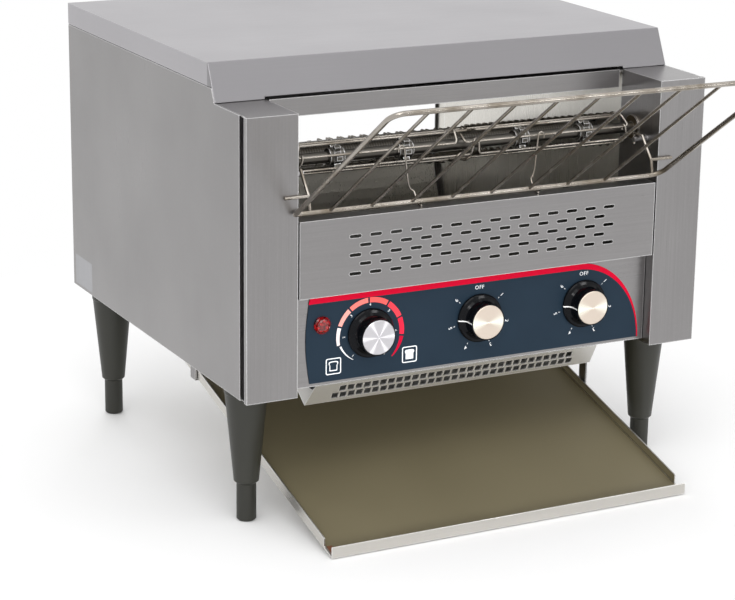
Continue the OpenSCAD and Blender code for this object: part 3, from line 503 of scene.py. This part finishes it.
def slab(shape, across, along, bottom, height, cuts=0):
    """Block between two x values and two y values, its underside given by bottom(y)."""
    corners = [
        shape.verts.new((x, y, bottom(y) + lift))
        for y in along
        for lift in (0, height)
        for x in sorted(across)
    ]
    faces = ((0, 1, 3, 2), (4, 6, 7, 5), (0, 4, 5, 1), (2, 3, 7, 6), (0, 2, 6, 4), (1, 5, 7, 3))
    made = [shape.faces.new([corners[k] for k in face]) for face in faces]
    if cuts:
        edges = list({edge for face in made for edge in face.edges})
        bmesh.ops.subdivide_edges(shape, edges=edges, cuts=cuts, use_grid_fill=True)


def lettering(shape, words, height, middle, turn, front):
    """Raised print of a dial figure, turned clockwise about its middle."""
    curve = bpy.data.curves.new("figure", "FONT")
    curve.body = words
    curve.size = height / 0.72  # a capital's height is 0.72 of the size
    curve.space_character = 1.15
    curve.align_x = "CENTER"
    curve.align_y = "CENTER"
    curve.extrude = INK_DEPTH / 2
    curve.resolution_u = 3
    holder = bpy.data.objects.new("figure", curve)
    bpy.context.scene.collection.objects.link(holder)
    bpy.context.view_layer.update()
    graph = bpy.context.evaluated_depsgraph_get()
    mesh = bpy.data.meshes.new_from_object(holder.evaluated_get(graph))
    mesh.transform(
        Matrix.Translation((middle[0], front + INK_DEPTH / 2, middle[1]))
        @ Matrix.Rotation(math.radians(turn), 4, "Y")
        @ Matrix.Rotation(math.radians(90), 4, "X")
    )
    shape.from_mesh(mesh)
    bpy.data.objects.remove(holder)
    bpy.data.curves.remove(curve)
    bpy.data.meshes.remove(mesh)
    bmesh.ops.remove_doubles(shape, verts=shape.verts, dist=1e-7)


def clock(middle, radius, degrees):
    """Point on a circle in the panel's plane, degrees clockwise from the top."""
    angle = math.radians(degrees)
    return (middle[0] + radius * math.sin(angle), middle[1] + radius * math.cos(angle))


def finish_nodes(material, slot, *nodes, edge=0.0):
    """Gives CAD nodes a finish, and sheet edges a small rounding."""
    for name in nodes:
        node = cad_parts[name]
        node.data.materials.clear()
        node.data.materials.append(material)
        if edge:
            weld = node.modifiers.new("Weld", "WELD")
            weld.merge_threshold = 1e-6
            rounding = node.modifiers.new("Edge", "BEVEL")
            rounding.width = edge
            rounding.segments = 2
            rounding.limit_method = "ANGLE"
            rounding.angle_limit = math.radians(50)
            even = node.modifiers.new("Normals", "WEIGHTED_NORMAL")
            even.keep_sharp = True


# ---------------- operators


class TOASTER_OT_stage(bpy.types.Operator):
    """Floor, soft lights and camera"""

    bl_idname = "toaster.stage"
    bl_label = "Stage"

    angles = (-28.082, 16.256, 0.975)  # the camera's azimuth, elevation and roll, in degrees
    viewpoint = (-1036.0, -1783.7, 794.2)
    sideways = -0.0442  # shift of the lens
    white_from, white_to = 0.33, 0.8  # distances over which the floor fades to white

    def execute(self, context):
        stage = context.scene.toaster_stage
        self.camera(context, stage)
        self.floor(context, stage)
        self.lights(context, stage)
        self.sky(context, stage)
        context.scene.view_settings.view_transform = "Standard"
        return {"FINISHED"}

    def camera(self, context, stage):
        azimuth, elevation, roll = (math.radians(angle) for angle in self.angles)
        level = Vector((math.sin(azimuth), -math.cos(azimuth), 0))
        back = level * math.cos(elevation) + Vector((0, 0, math.sin(elevation)))
        right = Vector((math.cos(azimuth), math.sin(azimuth), 0))
        up = back.cross(right)
        across = right * math.cos(roll) + up * math.sin(roll)
        upward = up * math.cos(roll) - right * math.sin(roll)
        data = bpy.data.cameras.new("Camera")
        data.lens = stage.focal
        data.sensor_width = 36
        data.shift_x = self.sideways
        data.clip_start = 0.05
        camera = bpy.data.objects.new("Camera", data)
        turn = Matrix((across, upward, back)).transposed().to_4x4()
        camera.matrix_world = Matrix.Translation(at(*self.viewpoint)) @ turn
        context.scene.collection.objects.link(camera)
        context.scene.camera = camera

    def floor(self, context, stage):
        shape = bmesh.new()
        bmesh.ops.create_grid(shape, x_segments=8, y_segments=8, size=9)
        mesh = bpy.data.meshes.new("Floor")
        shape.to_mesh(mesh)
        shape.free()
        made = Finish("Floor paint").set(Roughness=0.9, Specular_IOR_Level=0.1)
        cloud = made.noise(made.coordinates(), 2.0, 2.0)
        made.colour(made.ramp(cloud, (0.3, shade(stage.floor, 0.99)), (0.7, stage.floor)))
        far = made.node("ShaderNodeVectorMath", operation="LENGTH")
        made.link(made.coordinates(), far.inputs[0])
        fade = made.spread(far.outputs["Value"], 0.0, 1.0, self.white_from, self.white_to)
        glow = made.node("ShaderNodeEmission")
        mix = made.node("ShaderNodeMixShader")
        output = made.tree.nodes["Material Output"]
        made.link(made.math("MULTIPLY", fade, self.seen(made.tree)), mix.inputs["Fac"])
        made.link(made.shader.outputs["BSDF"], mix.inputs[1])
        made.link(glow.outputs["Emission"], mix.inputs[2])
        made.link(mix.outputs["Shader"], output.inputs["Surface"])
        mesh.materials.append(made.material)
        floor = bpy.data.objects.new("Floor", mesh)
        floor.location.z = -0.0002
        context.scene.collection.objects.link(floor)

    def lights(self, context, stage):
        body, nose = (0, 0, 0.25), (0, -0.15, 0.2)
        # power as a share of the key's, place, size, aim, seen in gloss, lights the surfaces
        lamps = {
            "Key": (1.0, (-1.1, -1.5, 2.6), (2.2, 1.6), body, True, True),
            "Fill": (0.35, (2.2, -1.8, 1.5), (1.8, 1.8), body, False, True),
            "Low": (1.5, (-0.5, -2.3, 0.35), (2.4, 0.5), (0, 0, 0.1), False, True),
            "Box": (0.2, (0.9, -0.9, 2.4), (1.2, 0.8), nose, True, False),
            "Glint": (0.2, (1.35, -2.5, 1.0), (0.5, 0.3), nose, True, False),
            "Window": (0.12, (-0.9, -1.7, 1.35), (0.22, 0.4), nose, True, False),
            "Rear": (0.5, (0.3, 1.7, 0.75), (1.2, 0.6), (0, 0.1, 0.25), False, True),
        }
        for name, (share, place, size, aim, mirrored, lit) in lamps.items():
            data = bpy.data.lights.new(name, "AREA")
            data.shape = "RECTANGLE"
            data.size, data.size_y = size
            data.energy = stage.key * share
            lamp = bpy.data.objects.new(name, data)
            lamp.location = place
            ray = Vector(aim) - Vector(place)
            lamp.rotation_euler = ray.to_track_quat("-Z", "Y").to_euler()
            lamp.visible_glossy = mirrored
            lamp.visible_diffuse = lit
            lamp.visible_camera = False
            context.scene.collection.objects.link(lamp)

    def sky(self, context, stage):
        world = bpy.data.worlds.new("Studio")
        context.scene.world = world
        world.use_nodes = True
        tree = world.node_tree
        background = tree.nodes["Background"]
        background.inputs["Color"].default_value = (1, 1, 1, 1)
        strength = tree.nodes.new("ShaderNodeMix")
        strength.inputs["A"].default_value = stage.sky
        strength.inputs["B"].default_value = 1.0
        tree.links.new(self.seen(tree), strength.inputs["Factor"])
        tree.links.new(strength.outputs["Result"], background.inputs["Strength"])

    def seen(self, tree):
        """1 for the rays by which the lens, metal and glass see the white background."""
        path = tree.nodes.new("ShaderNodeLightPath")
        total = path.outputs["Is Camera Ray"]
        for ray in ("Is Glossy Ray", "Is Transmission Ray"):
            either = tree.nodes.new("ShaderNodeMath")
            either.operation = "MAXIMUM"
            tree.links.new(total, either.inputs[0])
            tree.links.new(path.outputs[ray], either.inputs[1])
            total = either.outputs["Value"]
        return total


class TOASTER_OT_sheet_metal(bpy.types.Operator):
    """Brushed finish on the body's sheet-metal pieces"""

    bl_idname = "toaster.sheet_metal"
    bl_label = "Sheet metal"

    # ranges of object coordinates: a bare label, and patches dimmed as painted shade on the cover's
    # lip and in the tunnel
    label = {"x": (-0.2345, -0.2335), "y": (0.2454, 0.2914), "z": (0.130, 0.160)}
    lip = {"y": (-0.08, -0.0492)}
    soot = {"y": (-0.12, 0.035), "z": (0.12, 0.248)}
    # inner and outer face of the corner strips, and each one's depths and heights
    corner_faces = (0.1866, 0.1874)
    corner_strips = (((0.2806, 0.2968), (0.1290, 0.2998)), ((0.2806, 0.2862), (0.3006, 0.3786)))

    def execute(self, context):
        steel = context.scene.toaster_steel
        rough = steel.roughness
        upright = brushed_steel("Steel brushed upright", steel.panel, "Z", rough, 0.09)
        across = brushed_steel("Steel brushed across", steel.panel, "X", rough, 0.08)
        right = brushed_steel("Side steel", steel.panel, "Z", rough, 0.07)
        left = brushed_steel("Left side steel", steel.panel, "Z", rough, 0.07, label=self.label)
        # the cover's lip is dimmed as painted shade
        cover = brushed_steel(
            "Cover steel", steel.cover, "X", rough + 0.04, 0.03, rim=0.35, dark=self.lip, dimmed=0.64
        )
        # the tunnel steel behind the guard is dimmed to a fifth as painted shade, so the slots look
        # dark
        inside = brushed_steel(
            "Tunnel steel", steel.inside, "Z", rough - 0.03, metal=0.9, dark=self.soot
        )
        hopper = brushed_steel("Hopper steel", srgb(206, 204, 200), "X", rough, metal=0.8)
        # a copy of the tunnel steel at 0.22 of its colour: painted shade behind the guard's slots
        shaded_partition = brushed_steel("Partition steel in painted shade", shade(steel.inside, 0.22), "X", 0.45, rim=0.2)
        edge = steel.edge
        finish_nodes(right, "panel_steel", "side_panel_right", "base_pan", edge=edge)
        finish_nodes(left, "panel_steel", "side_panel_left", edge=edge)
        finish_nodes(upright, "panel_steel", "front_post_left", "front_post_right", edge=edge)
        finish_nodes(cover, "panel_steel", "top_cover", edge=edge)
        finish_nodes(across, "panel_steel", "front_guard", "control_panel", "top_baffle")
        finish_nodes(across, "panel_steel", "rear_panel", "rear_top_rail")
        finish_nodes(across, "panel_steel", "tray_hangers", "motor_bracket")
        finish_nodes(inside, "panel_steel", "toast_slide")
        finish_nodes(hopper, "panel_steel", "intake_grille")
        finish_nodes(inside, "inner_steel", "tunnel_wall_left", "tunnel_wall_right")
        finish_nodes(inside, "inner_steel", "top_reflector", "bottom_reflector")
        finish_nodes(shaded_partition, "inner_steel", "bay_partition")
        for side, name in ((-1, "left"), (1, "right")):
            self.corner(side, f"tunnel_corner_{name}", inside)
        return {"FINISHED"}

    def corner(self, side, name, material):
        """Strips that close a back corner of the tunnel behind its wall."""
        shape = bmesh.new()
        across = [side * face for face in self.corner_faces]
        for depths, (bottom, top) in self.corner_strips:
            slab(shape, across, depths, lambda y: bottom, top - bottom)
        add_piece(name, shape, material, "root")


class TOASTER_OT_heaters(bpy.types.Operator):
    """Quartz heaters and their ceramic holders"""

    bl_idname = "toaster.heaters"
    bl_label = "Heaters"

    def execute(self, context):
        finish_nodes(quartz_tube("Quartz tube"), "quartz", "top_heaters", "bottom_heaters")
        ceramic = moulded_plastic("Ceramic", srgb(224, 218, 204), 0.6, 0.2)
        finish_nodes(ceramic, "ceramic", "heater_holders")
        return {"FINISHED"}


class BeltCourse:
    """The closed path of the belt round its two shafts, as lengths along it."""

    def __init__(self, settings):
        self.nose = centre("idler_shaft")
        self.tail = centre("drive_shaft")
        span = self.tail - self.nose
        self.run = math.hypot(span.y, span.z)
        self.radius = settings.radius
        self.arc = math.pi * self.radius
        self.length = 2 * (self.run + self.arc)
        self.pitch = self.length / settings.links
        self.along = Vector((0, span.y, span.z)).normalized()
        self.normal = Vector((0, -self.along.z, self.along.y))

    def point(self, x, s, n):
        """Point at sideways x, length s from the top of the nose, n outside the course."""
        s %= self.length
        reach = self.radius + n
        if s < self.run:
            t, height = s, reach
        elif s < self.run + self.arc:
            turn = (s - self.run) / self.radius
            t, height = self.run + reach * math.sin(turn), reach * math.cos(turn)
        elif s < 2 * self.run + self.arc:
            t, height = 2 * self.run + self.arc - s, -reach
        else:
            turn = (s - 2 * self.run - self.arc) / self.radius
            t, height = -reach * math.sin(turn), -reach * math.cos(turn)
        return Vector((x, self.nose.y, self.nose.z)) + self.along * t + self.normal * height


class TOASTER_OT_belt(bpy.types.Operator):
    """Belt of round wires, each hooked round the next at both edges and in the middle"""

    bl_idname = "toaster.belt"
    bl_label = "Wire belt"

    guide_radius = 0.9 * MM
    # a guide wire in millimetres, from its upper curl to its foot on the guard
    guide_line = (
        (75.0, -107.0, 333.5),
        (75.2, -107.0, 337.5),
        (72.0, -107.0, 339.6),
        (69.4, -107.0, 337.5),
        (65.5, -108.0, 305.0),
        (63.5, -108.5, 299.0),
        (60.5, -110.0, 297.5),
        (60.5, -117.5, 287.5),
        (60.5, -124.5, 287.5),
    )

    def execute(self, context):
        settings = context.scene.toaster_belt
        course = BeltCourse(settings)
        low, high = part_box("conveyor_belt")
        shape = bmesh.new()
        for link in range(settings.links):
            sweep(shape, self.wire(course, settings, link, (high.x - low.x) / 2), settings.wire / 2)
        wire = bright_wire("Belt wire", context.scene.toaster_steel.wire)
        belt = add_piece("conveyor_belt_wires", shape, wire, "root", 60)
        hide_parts("conveyor_belt")
        guides = bmesh.new()
        for side in (-1, 1):
            line = [Vector((side * x * MM, y * MM, z * MM)) for x, y, z in self.guide_line]
            sweep(guides, rounded(line, 1.2 * MM), self.guide_radius)
        add_piece("toast_guides", guides, wire, "root", 60)
        return {"FINISHED"}

    def wire(self, course, settings, link, half):
        """Path of one wire from its left hook to its right hook."""
        thick = settings.wire
        clear = thick * 1.05
        edge = half - thick / 2
        pitch = course.pitch
        knuckle = settings.stagger * (1 if link % 2 else -1)
        hook = [
            (edge - 5.1 * MM, pitch - 3.2 * MM, -0.8 * clear),
            (edge - 5.0 * MM, pitch + 0.4 * MM, -clear),
            (edge - 4.7 * MM, pitch + clear, 0),
            (edge - 4.3 * MM, pitch + 0.2 * MM, clear),
            (edge - 3.4 * MM, pitch - 3.6 * MM, 0.7 * clear),
            (edge, 2.2 * MM, 0),
            (edge - 1.6 * MM, 0, 0),
        ]
        bend = [
            (-5.6 * MM, 0, 0),
            (-4.2 * MM, 2.2 * MM, 0.3 * clear),
            (-3.9 * MM, pitch - 2.4 * MM, 0.9 * clear),
            (-3.2 * MM, pitch + 0.6 * MM, clear),
            (-1.6 * MM, pitch + 1.1 * clear, 0.3 * clear),
            (1.6 * MM, pitch + 1.1 * clear, -0.3 * clear),
            (3.2 * MM, pitch + 0.6 * MM, -clear),
            (3.9 * MM, pitch - 2.4 * MM, -0.9 * clear),
            (4.2 * MM, 2.2 * MM, -0.3 * clear),
            (5.6 * MM, 0, 0),
        ]
        corners = [(-x, s, n) for x, s, n in hook]
        corners += [(knuckle + x, s, n) for x, s, n in bend]
        corners += hook[::-1]
        s0 = (link + 0.5) * pitch
        path = [course.point(x, s0 + s, n) for x, s, n in corners]
        return rounded(path, 1.4 * MM)


class TOASTER_OT_drive(bpy.types.Operator):
    """Shafts, sprockets, chain and gearmotor"""

    bl_idname = "toaster.drive"
    bl_label = "Drive"

    def execute(self, context):
        dark = brushed_steel("Turned steel", srgb(92, 89, 84), "X", 0.34)
        bronze = brushed_steel("Bearing bronze", srgb(118, 106, 88), "X", 0.32)
        casing = brushed_steel("Motor casing", srgb(150, 152, 154), "Z", 0.42)
        finish_nodes(dark, "dark_steel", "belt_rails", "drive_chain")
        finish_nodes(dark, "dark_steel", "drive_shaft", "drive_belt_sprockets", "drive_sprocket")
        finish_nodes(dark, "dark_steel", "idler_shaft", "idler_belt_sprockets", "motor_sprocket")
        finish_nodes(bronze, "brass", "shaft_bushes")
        finish_nodes(casing, "motor_metal", "gearmotor")
        return {"FINISHED"}


class TOASTER_OT_fascia(bpy.types.Operator):
    """Printed fascia with its red band"""

    bl_idname = "toaster.fascia"
    bl_label = "Fascia"

    corner = 68 * MM  # width of the rounded corner on the right
    margin = 4 * MM  # bare fascia left of the band
    lean = 1.3 * MM  # how far the band's left end leans out
    steps, bends = 8, 24

    def execute(self, context):
        colours = context.scene.toaster_print
        finish_nodes(printed_film("Fascia film", colours.slate, 0.32), "overlay", "fascia")
        low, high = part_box("fascia")
        height = high.z - low.z
        middle = high.x - self.corner
        left = low.x + self.margin
        outer, inner = [], []
        for k in range(self.steps + 1):
            x = left + (middle - left) * k / self.steps
            outer.append((x, high.z))
            inner.append((x if k else x - self.lean, high.z - colours.band_width))
        for k in range(1, self.bends + 1):
            angle = math.radians(90 - 90 * k / self.bends)
            for line, thin, low_by in (
                (outer, 0, 0),
                (inner, colours.band_end, colours.band_width),
            ):
                x = middle + (self.corner - thin) * math.cos(angle)
                line.append((x, low.z + (height - low_by) * math.sin(angle)))
        shape = bmesh.new()
        strip(shape, outer, inner, low.y - 0.12 * MM, low.y + 0.2 * MM)
        band = printed_film("Band ink", colours.band, 0.28, 0.03)
        add_piece("fascia_band", shape, band, "root")
        return {"FINISHED"}


class TOASTER_OT_dial_marks(bpy.types.Operator):
    """Figures, ticks, graded ring and bread signs round the knobs"""

    bl_idname = "toaster.dial_marks"
    bl_label = "Dial marks"

    figures = 6  # on a heater dial, besides OFF
    off_inset = 1.7 * MM
    tick_reach = (25.4 * MM, 27.0 * MM)
    tick_width = 0.4 * MM
    speed_figures = 7
    speed_first, speed_step = 220.5, 46.5  # degrees clockwise from the top
    speed_radius = 25.9 * MM
    speed_size = 0.72  # of a heater dial's figures
    ring_shift = (0.4 * MM, -1.4 * MM)  # middle of the graded ring from the knob's axis
    ring_start, ring_gap = 216.0, 1.6  # degrees
    # each field of the ring: end of its arc, tone, width and inset in millimetres at both ends
    fields = (
        (256.0, srgb(236, 238, 240), (0.4, 1.8), (6.2, 2.3)),
        (288.0, srgb(232, 220, 220), (2.9, 3.7), (0.2, 0.0)),
        (320.5, srgb(238, 160, 150), (3.9, 4.4), (0.0, 0.0)),
        (357.0, srgb(238, 122, 114), (4.5, 4.6), (0.0, 0.0)),
        (393.5, srgb(236, 94, 90), (4.8, 4.8), (0.0, 0.0)),
        (427.5, srgb(234, 64, 76), (4.9, 4.9), (0.0, 0.0)),
        (459.0, srgb(226, 38, 64), (4.8, 4.4), (0.0, 0.0)),
        (499.0, srgb(186, 4, 46), (4.0, 1.0), (0.0, 1.2)),
    )
    # right half of a slice of bread in millimetres: straight side, crown that bulges past it
    slice_half = (
        (0.0, -4.4),
        (3.6, -4.4),
        (3.9, -4.0),
        (3.9, 1.0),
        (4.6, 2.0),
        (4.8, 3.2),
        (4.2, 4.2),
        (2.8, 4.6),
        (0.0, 4.7),
    )

    def execute(self, context):
        colours = context.scene.toaster_print
        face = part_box("fascia")[0].y
        self.front = face - 0.1 * MM
        self.back = face + 0.2 * MM
        self.ink = printed_film("Dial ink", colours.ink, 0.35, 0.02)
        for name in ("top", "bottom"):
            self.element_dial(name, colours)
        self.speed_dial(colours)
        self.bread_sign("light", (-144.4, 147.6), False)
        self.bread_sign("dark", (-67.7, 148.6), True)
        return {"FINISHED"}

    def middle(self, node):
        place = centre(node)
        return (place.x, place.z)

    def element_dial(self, name, colours):
        middle = self.middle(name + "_knob_cap")
        height, radius = colours.figure_height, colours.figure_radius
        shape = bmesh.new()
        spot = clock(middle, radius - self.off_inset, 0)
        lettering(shape, "OFF", height * 1.02, spot, 0, self.front)
        for figure in range(1, self.figures + 1):
            turn = figure * (360 / (self.figures + 1))
            lettering(shape, str(figure), height, clock(middle, radius, turn), turn, self.front)
            self.tick(shape, *(clock(middle, reach, turn) for reach in self.tick_reach))
        add_piece(name + "_dial_figures", shape, self.ink, "root")

    def tick(self, shape, inner, outer):
        a, b = Vector(inner), Vector(outer)
        along = b - a
        side = Vector((-along.y, along.x)).normalized() * self.tick_width / 2
        outline = [tuple(corner) for corner in (a - side, b - side, b + side, a + side)]
        plate(shape, outline, self.front, self.back)

    def speed_dial(self, colours):
        axis = self.middle("speed_knob_cap")
        height = colours.figure_height * self.speed_size
        shape = bmesh.new()
        for number in range(self.speed_figures):
            turn = self.speed_first + number * self.speed_step
            spot = clock(axis, self.speed_radius, turn)
            lettering(shape, str(number + 1), height, spot, turn, self.front)
        add_piece("speed_dial_figures", shape, self.ink, "root")
        middle = (axis[0] + self.ring_shift[0], axis[1] + self.ring_shift[1])
        start = self.ring_start
        for number, (end, tone, widths, insets) in enumerate(self.fields, 1):
            first, last = start + self.ring_gap, end - self.ring_gap
            start = end
            outer, inner = [], []
            for k in range(13):
                share = k / 12
                turn = first + (last - first) * share
                width, inset = (pair[0] + (pair[1] - pair[0]) * share for pair in (widths, insets))
                reach = colours.ring_radius - inset * MM
                outer.append(clock(middle, reach, turn))
                inner.append(clock(middle, reach - width * MM, turn))
            field = bmesh.new()
            strip(field, outer, inner, self.front, self.back)
            ink = printed_film(f"Ring ink {number}", tone, 0.35, 0.02)
            add_piece(f"speed_ring_{number}", field, ink, "root")

    def bread_sign(self, name, spot, filled):
        """A slice of bread, pale or toasted, in a rounded frame."""
        middle = (spot[0] * MM, spot[1] * MM)
        shape = bmesh.new()
        frame_out = self.rounded_square(middle, 7.6 * MM, 1.8 * MM)
        frame_in = self.rounded_square(middle, 6.7 * MM, 1.1 * MM)
        strip(shape, frame_out, frame_in, self.front, self.back, closed=True)
        slice_out = self.bread(middle, 1.0)
        if filled:
            plate(shape, slice_out, self.front, self.back)
        else:
            strip(shape, slice_out, self.bread(middle, 0.8), self.front, self.back, closed=True)
        add_piece(f"bread_sign_{name}", shape, self.ink, "root")

    def rounded_square(self, middle, half, radius):
        line = []
        for quarter in range(4):
            turn = math.radians(90 * quarter)
            corner = Vector((half - radius, half - radius))
            for k in range(5):
                angle = math.radians(22.5 * k)
                local = corner + radius * Vector((math.cos(angle), math.sin(angle)))
                x = local.x * math.cos(turn) - local.y * math.sin(turn)
                z = local.x * math.sin(turn) + local.y * math.cos(turn)
                line.append((middle[0] + x, middle[1] + z))
        return line

    def bread(self, middle, size):
        """Outline of a slice of bread."""
        right = [(x * size, z * size) for x, z in self.slice_half]
        left = [(-x, z) for x, z in right[-2:0:-1]]
        return [(middle[0] + x * MM, middle[1] + z * MM) for x, z in right + left]


class TOASTER_OT_knobs(bpy.types.Operator):
    """Knobs, their metal caps and pointer lines"""

    bl_idname = "toaster.knobs"
    bl_label = "Knobs"

    pointers = {"speed": 160.0, "top": 270.0, "bottom": 270.0}  # degrees clockwise from the top
    pointer_width = 1.1 * MM
    pointer_lift, pointer_sink = 0.12 * MM, 0.4 * MM
    # a knob's side in millimetres: radius and distance from the fascia, rim to cap
    side = (
        (22.75, 1.8),
        (22.75, 3.0),
        (21.75, 4.0),
        (19.5, 4.8),
        (17.5, 6.4),
        (16.7, 8.8),
        (16.7, 15.5),
        (17.2, 16.4),
        (17.0, 17.5),
    )

    def execute(self, context):
        controls = context.scene.toaster_controls
        black = glossy_knob("Knob black", controls.plastic)
        white = printed_film("Pointer paint", srgb(240, 240, 238), 0.35)
        for name, turn in self.pointers.items():
            knob, cap = name + "_knob", name + "_knob_cap"
            finish_nodes(black, "black_plastic", knob)
            colour, rays = (controls.aluminium, 6) if name == "speed" else (controls.champagne, 2)
            finish_nodes(spun_cap(f"Cap {name}", colour, rays, centre(cap)), "cap_metal", cap)
            shape = bmesh.new()
            self.pointer(shape, centre(cap), turn)
            add_piece(name + "_knob_pointer", shape, white, name + "_dial")
        finish_nodes(jewel_lens("Lamp lens", controls.lamp), "lamp_red", "lamp_lens")
        return {"FINISHED"}

    def pointer(self, shape, place, turn):
        """Thin painted line up the knob's side, from its rim to its cap."""
        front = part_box("fascia")[0].y
        angle = math.radians(turn)
        outward = Vector((math.sin(angle), 0, math.cos(angle)))
        half = Vector((math.cos(angle), 0, -math.sin(angle))) * self.pointer_width / 2
        sunk = Vector((0, self.pointer_sink, 0)) - outward * self.pointer_sink
        rings = []
        for radius, out in self.side:
            spot = Vector((place.x, front - out * MM - self.pointer_lift, place.z))
            spot += outward * (radius * MM + self.pointer_lift)
            rings.append([spot - half, spot + half, spot + sunk + half, spot + sunk - half])
        skin(shape, rings)


class TOASTER_OT_feed_rack(bpy.types.Operator):
    """Bright wire finish of the feed rack"""

    bl_idname = "toaster.feed_rack"
    bl_label = "Feed rack"

    def execute(self, context):
        wire = bright_wire("Rack wire", context.scene.toaster_steel.wire)
        finish_nodes(wire, "wire", "feed_rack")
        return {"FINISHED"}


class TOASTER_OT_tray(bpy.types.Operator):
    """Output tray with its coated face"""

    bl_idname = "toaster.tray"
    bl_label = "Output tray"

    slope = math.tan(math.radians(14.6))
    sheet = 1.2 * MM
    film = 0.25 * MM  # thickness of the coating
    flange_start, flange_height = 17 * MM, 7 * MM

    def execute(self, context):
        steel = context.scene.toaster_steel
        sheet = brushed_steel("Tray steel", srgb(206, 203, 197), "X", steel.roughness)
        finish_nodes(sheet, "panel_steel", "output_tray", edge=steel.edge * 0.5)
        low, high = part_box("output_tray")
        inner = high.x - self.sheet
        half, end = inner - 1 * MM, high.y - 1 * MM
        shape = bmesh.new()

        def face(y):
            return low.z + 1.3 * MM + (y - low.y) * self.slope

        def flange_foot(y):
            return face(y) + 0.3 * MM

        slab(shape, (-half, half), (low.y + 2 * MM, end), face, self.film, 3)
        for side in (-1, 1):
            wall = (side * (inner - 0.05 * MM - self.film), side * (inner - 0.05 * MM))
            slab(shape, wall, (low.y + self.flange_start, end), flange_foot, self.flange_height)
        coating = coated_face("Tray coating", steel.coating)
        add_piece("tray_coating", shape, coating, "tray")
        return {"FINISHED"}


class TOASTER_OT_legs(bpy.types.Operator):
    """Moulded legs and their adjusting feet"""

    bl_idname = "toaster.legs"
    bl_label = "Legs"

    def execute(self, context):
        colour = context.scene.toaster_controls.leg
        leg = moulded_plastic("Leg plastic", colour, 0.42, 0.25)
        foot = moulded_plastic("Foot plastic", shade(colour, 0.85), 0.5, 0.25)
        for corner in ("front_left", "front_right", "rear_left", "rear_right"):
            finish_nodes(leg, "leg_plastic", "leg_" + corner)
            finish_nodes(foot, "leg_plastic", "foot_" + corner)
        return {"FINISHED"}


class TOASTER_OT_electrics(bpy.types.Operator):
    """Switches, fan, terminal block and cable gland"""

    bl_idname = "toaster.electrics"
    bl_label = "Electrics"

    def execute(self, context):
        pale = moulded_plastic("Pale plastic", srgb(216, 211, 198), 0.5)
        dark = moulded_plastic("Dark plastic", srgb(30, 30, 32), 0.42)
        can = brushed_steel("Regulator can", srgb(126, 128, 130), "Z", 0.36)
        finish_nodes(pale, "pale_plastic", "top_switch", "bottom_switch")
        finish_nodes(pale, "pale_plastic", "lamp_body", "terminal_block")
        finish_nodes(dark, "black_plastic", "fan_frame", "fan_rotor", "cable_gland")
        finish_nodes(can, "motor_metal", "speed_regulator")
        return {"FINISHED"}


class TOASTER_PT_panel(bpy.types.Panel):
    """Lists the toaster's pieces"""

    bl_label = "Conveyor toaster"
    bl_idname = "TOASTER_PT_panel"
    bl_space_type = "VIEW_3D"
    bl_region_type = "UI"
    bl_category = "Toaster"

    def draw(self, context):
        for operator in OPERATORS:
            self.layout.operator(operator.bl_idname)
        for name in SETTINGS:
            group = getattr(context.scene, name)
            box = self.layout.box()
            for key in group.__annotations__:
                box.prop(group, key)


SETTINGS = {
    "toaster_steel": SteelSettings,
    "toaster_print": PrintSettings,
    "toaster_belt": BeltSettings,
    "toaster_controls": ControlSettings,
    "toaster_stage": StageSettings,
}
OPERATORS = (
    TOASTER_OT_stage,
    TOASTER_OT_sheet_metal,
    TOASTER_OT_heaters,
    TOASTER_OT_belt,
    TOASTER_OT_drive,
    TOASTER_OT_fascia,
    TOASTER_OT_dial_marks,
    TOASTER_OT_knobs,
    TOASTER_OT_feed_rack,
    TOASTER_OT_tray,
    TOASTER_OT_legs,
    TOASTER_OT_electrics,
)


def register():
    for kind in (*SETTINGS.values(), *OPERATORS, TOASTER_PT_panel):
        bpy.utils.register_class(kind)
    for name, kind in SETTINGS.items():
        setattr(bpy.types.Scene, name, PointerProperty(type=kind))


def unregister():
    for name in SETTINGS:
        delattr(bpy.types.Scene, name)
    for kind in (TOASTER_PT_panel, *reversed(OPERATORS), *SETTINGS.values()):
        bpy.utils.unregister_class(kind)


def main():
    register()
    for operator in OPERATORS:
        group, name = operator.bl_idname.split(".")
        getattr(getattr(bpy.ops, group), name)()


if __name__ == "__main__":
    main()
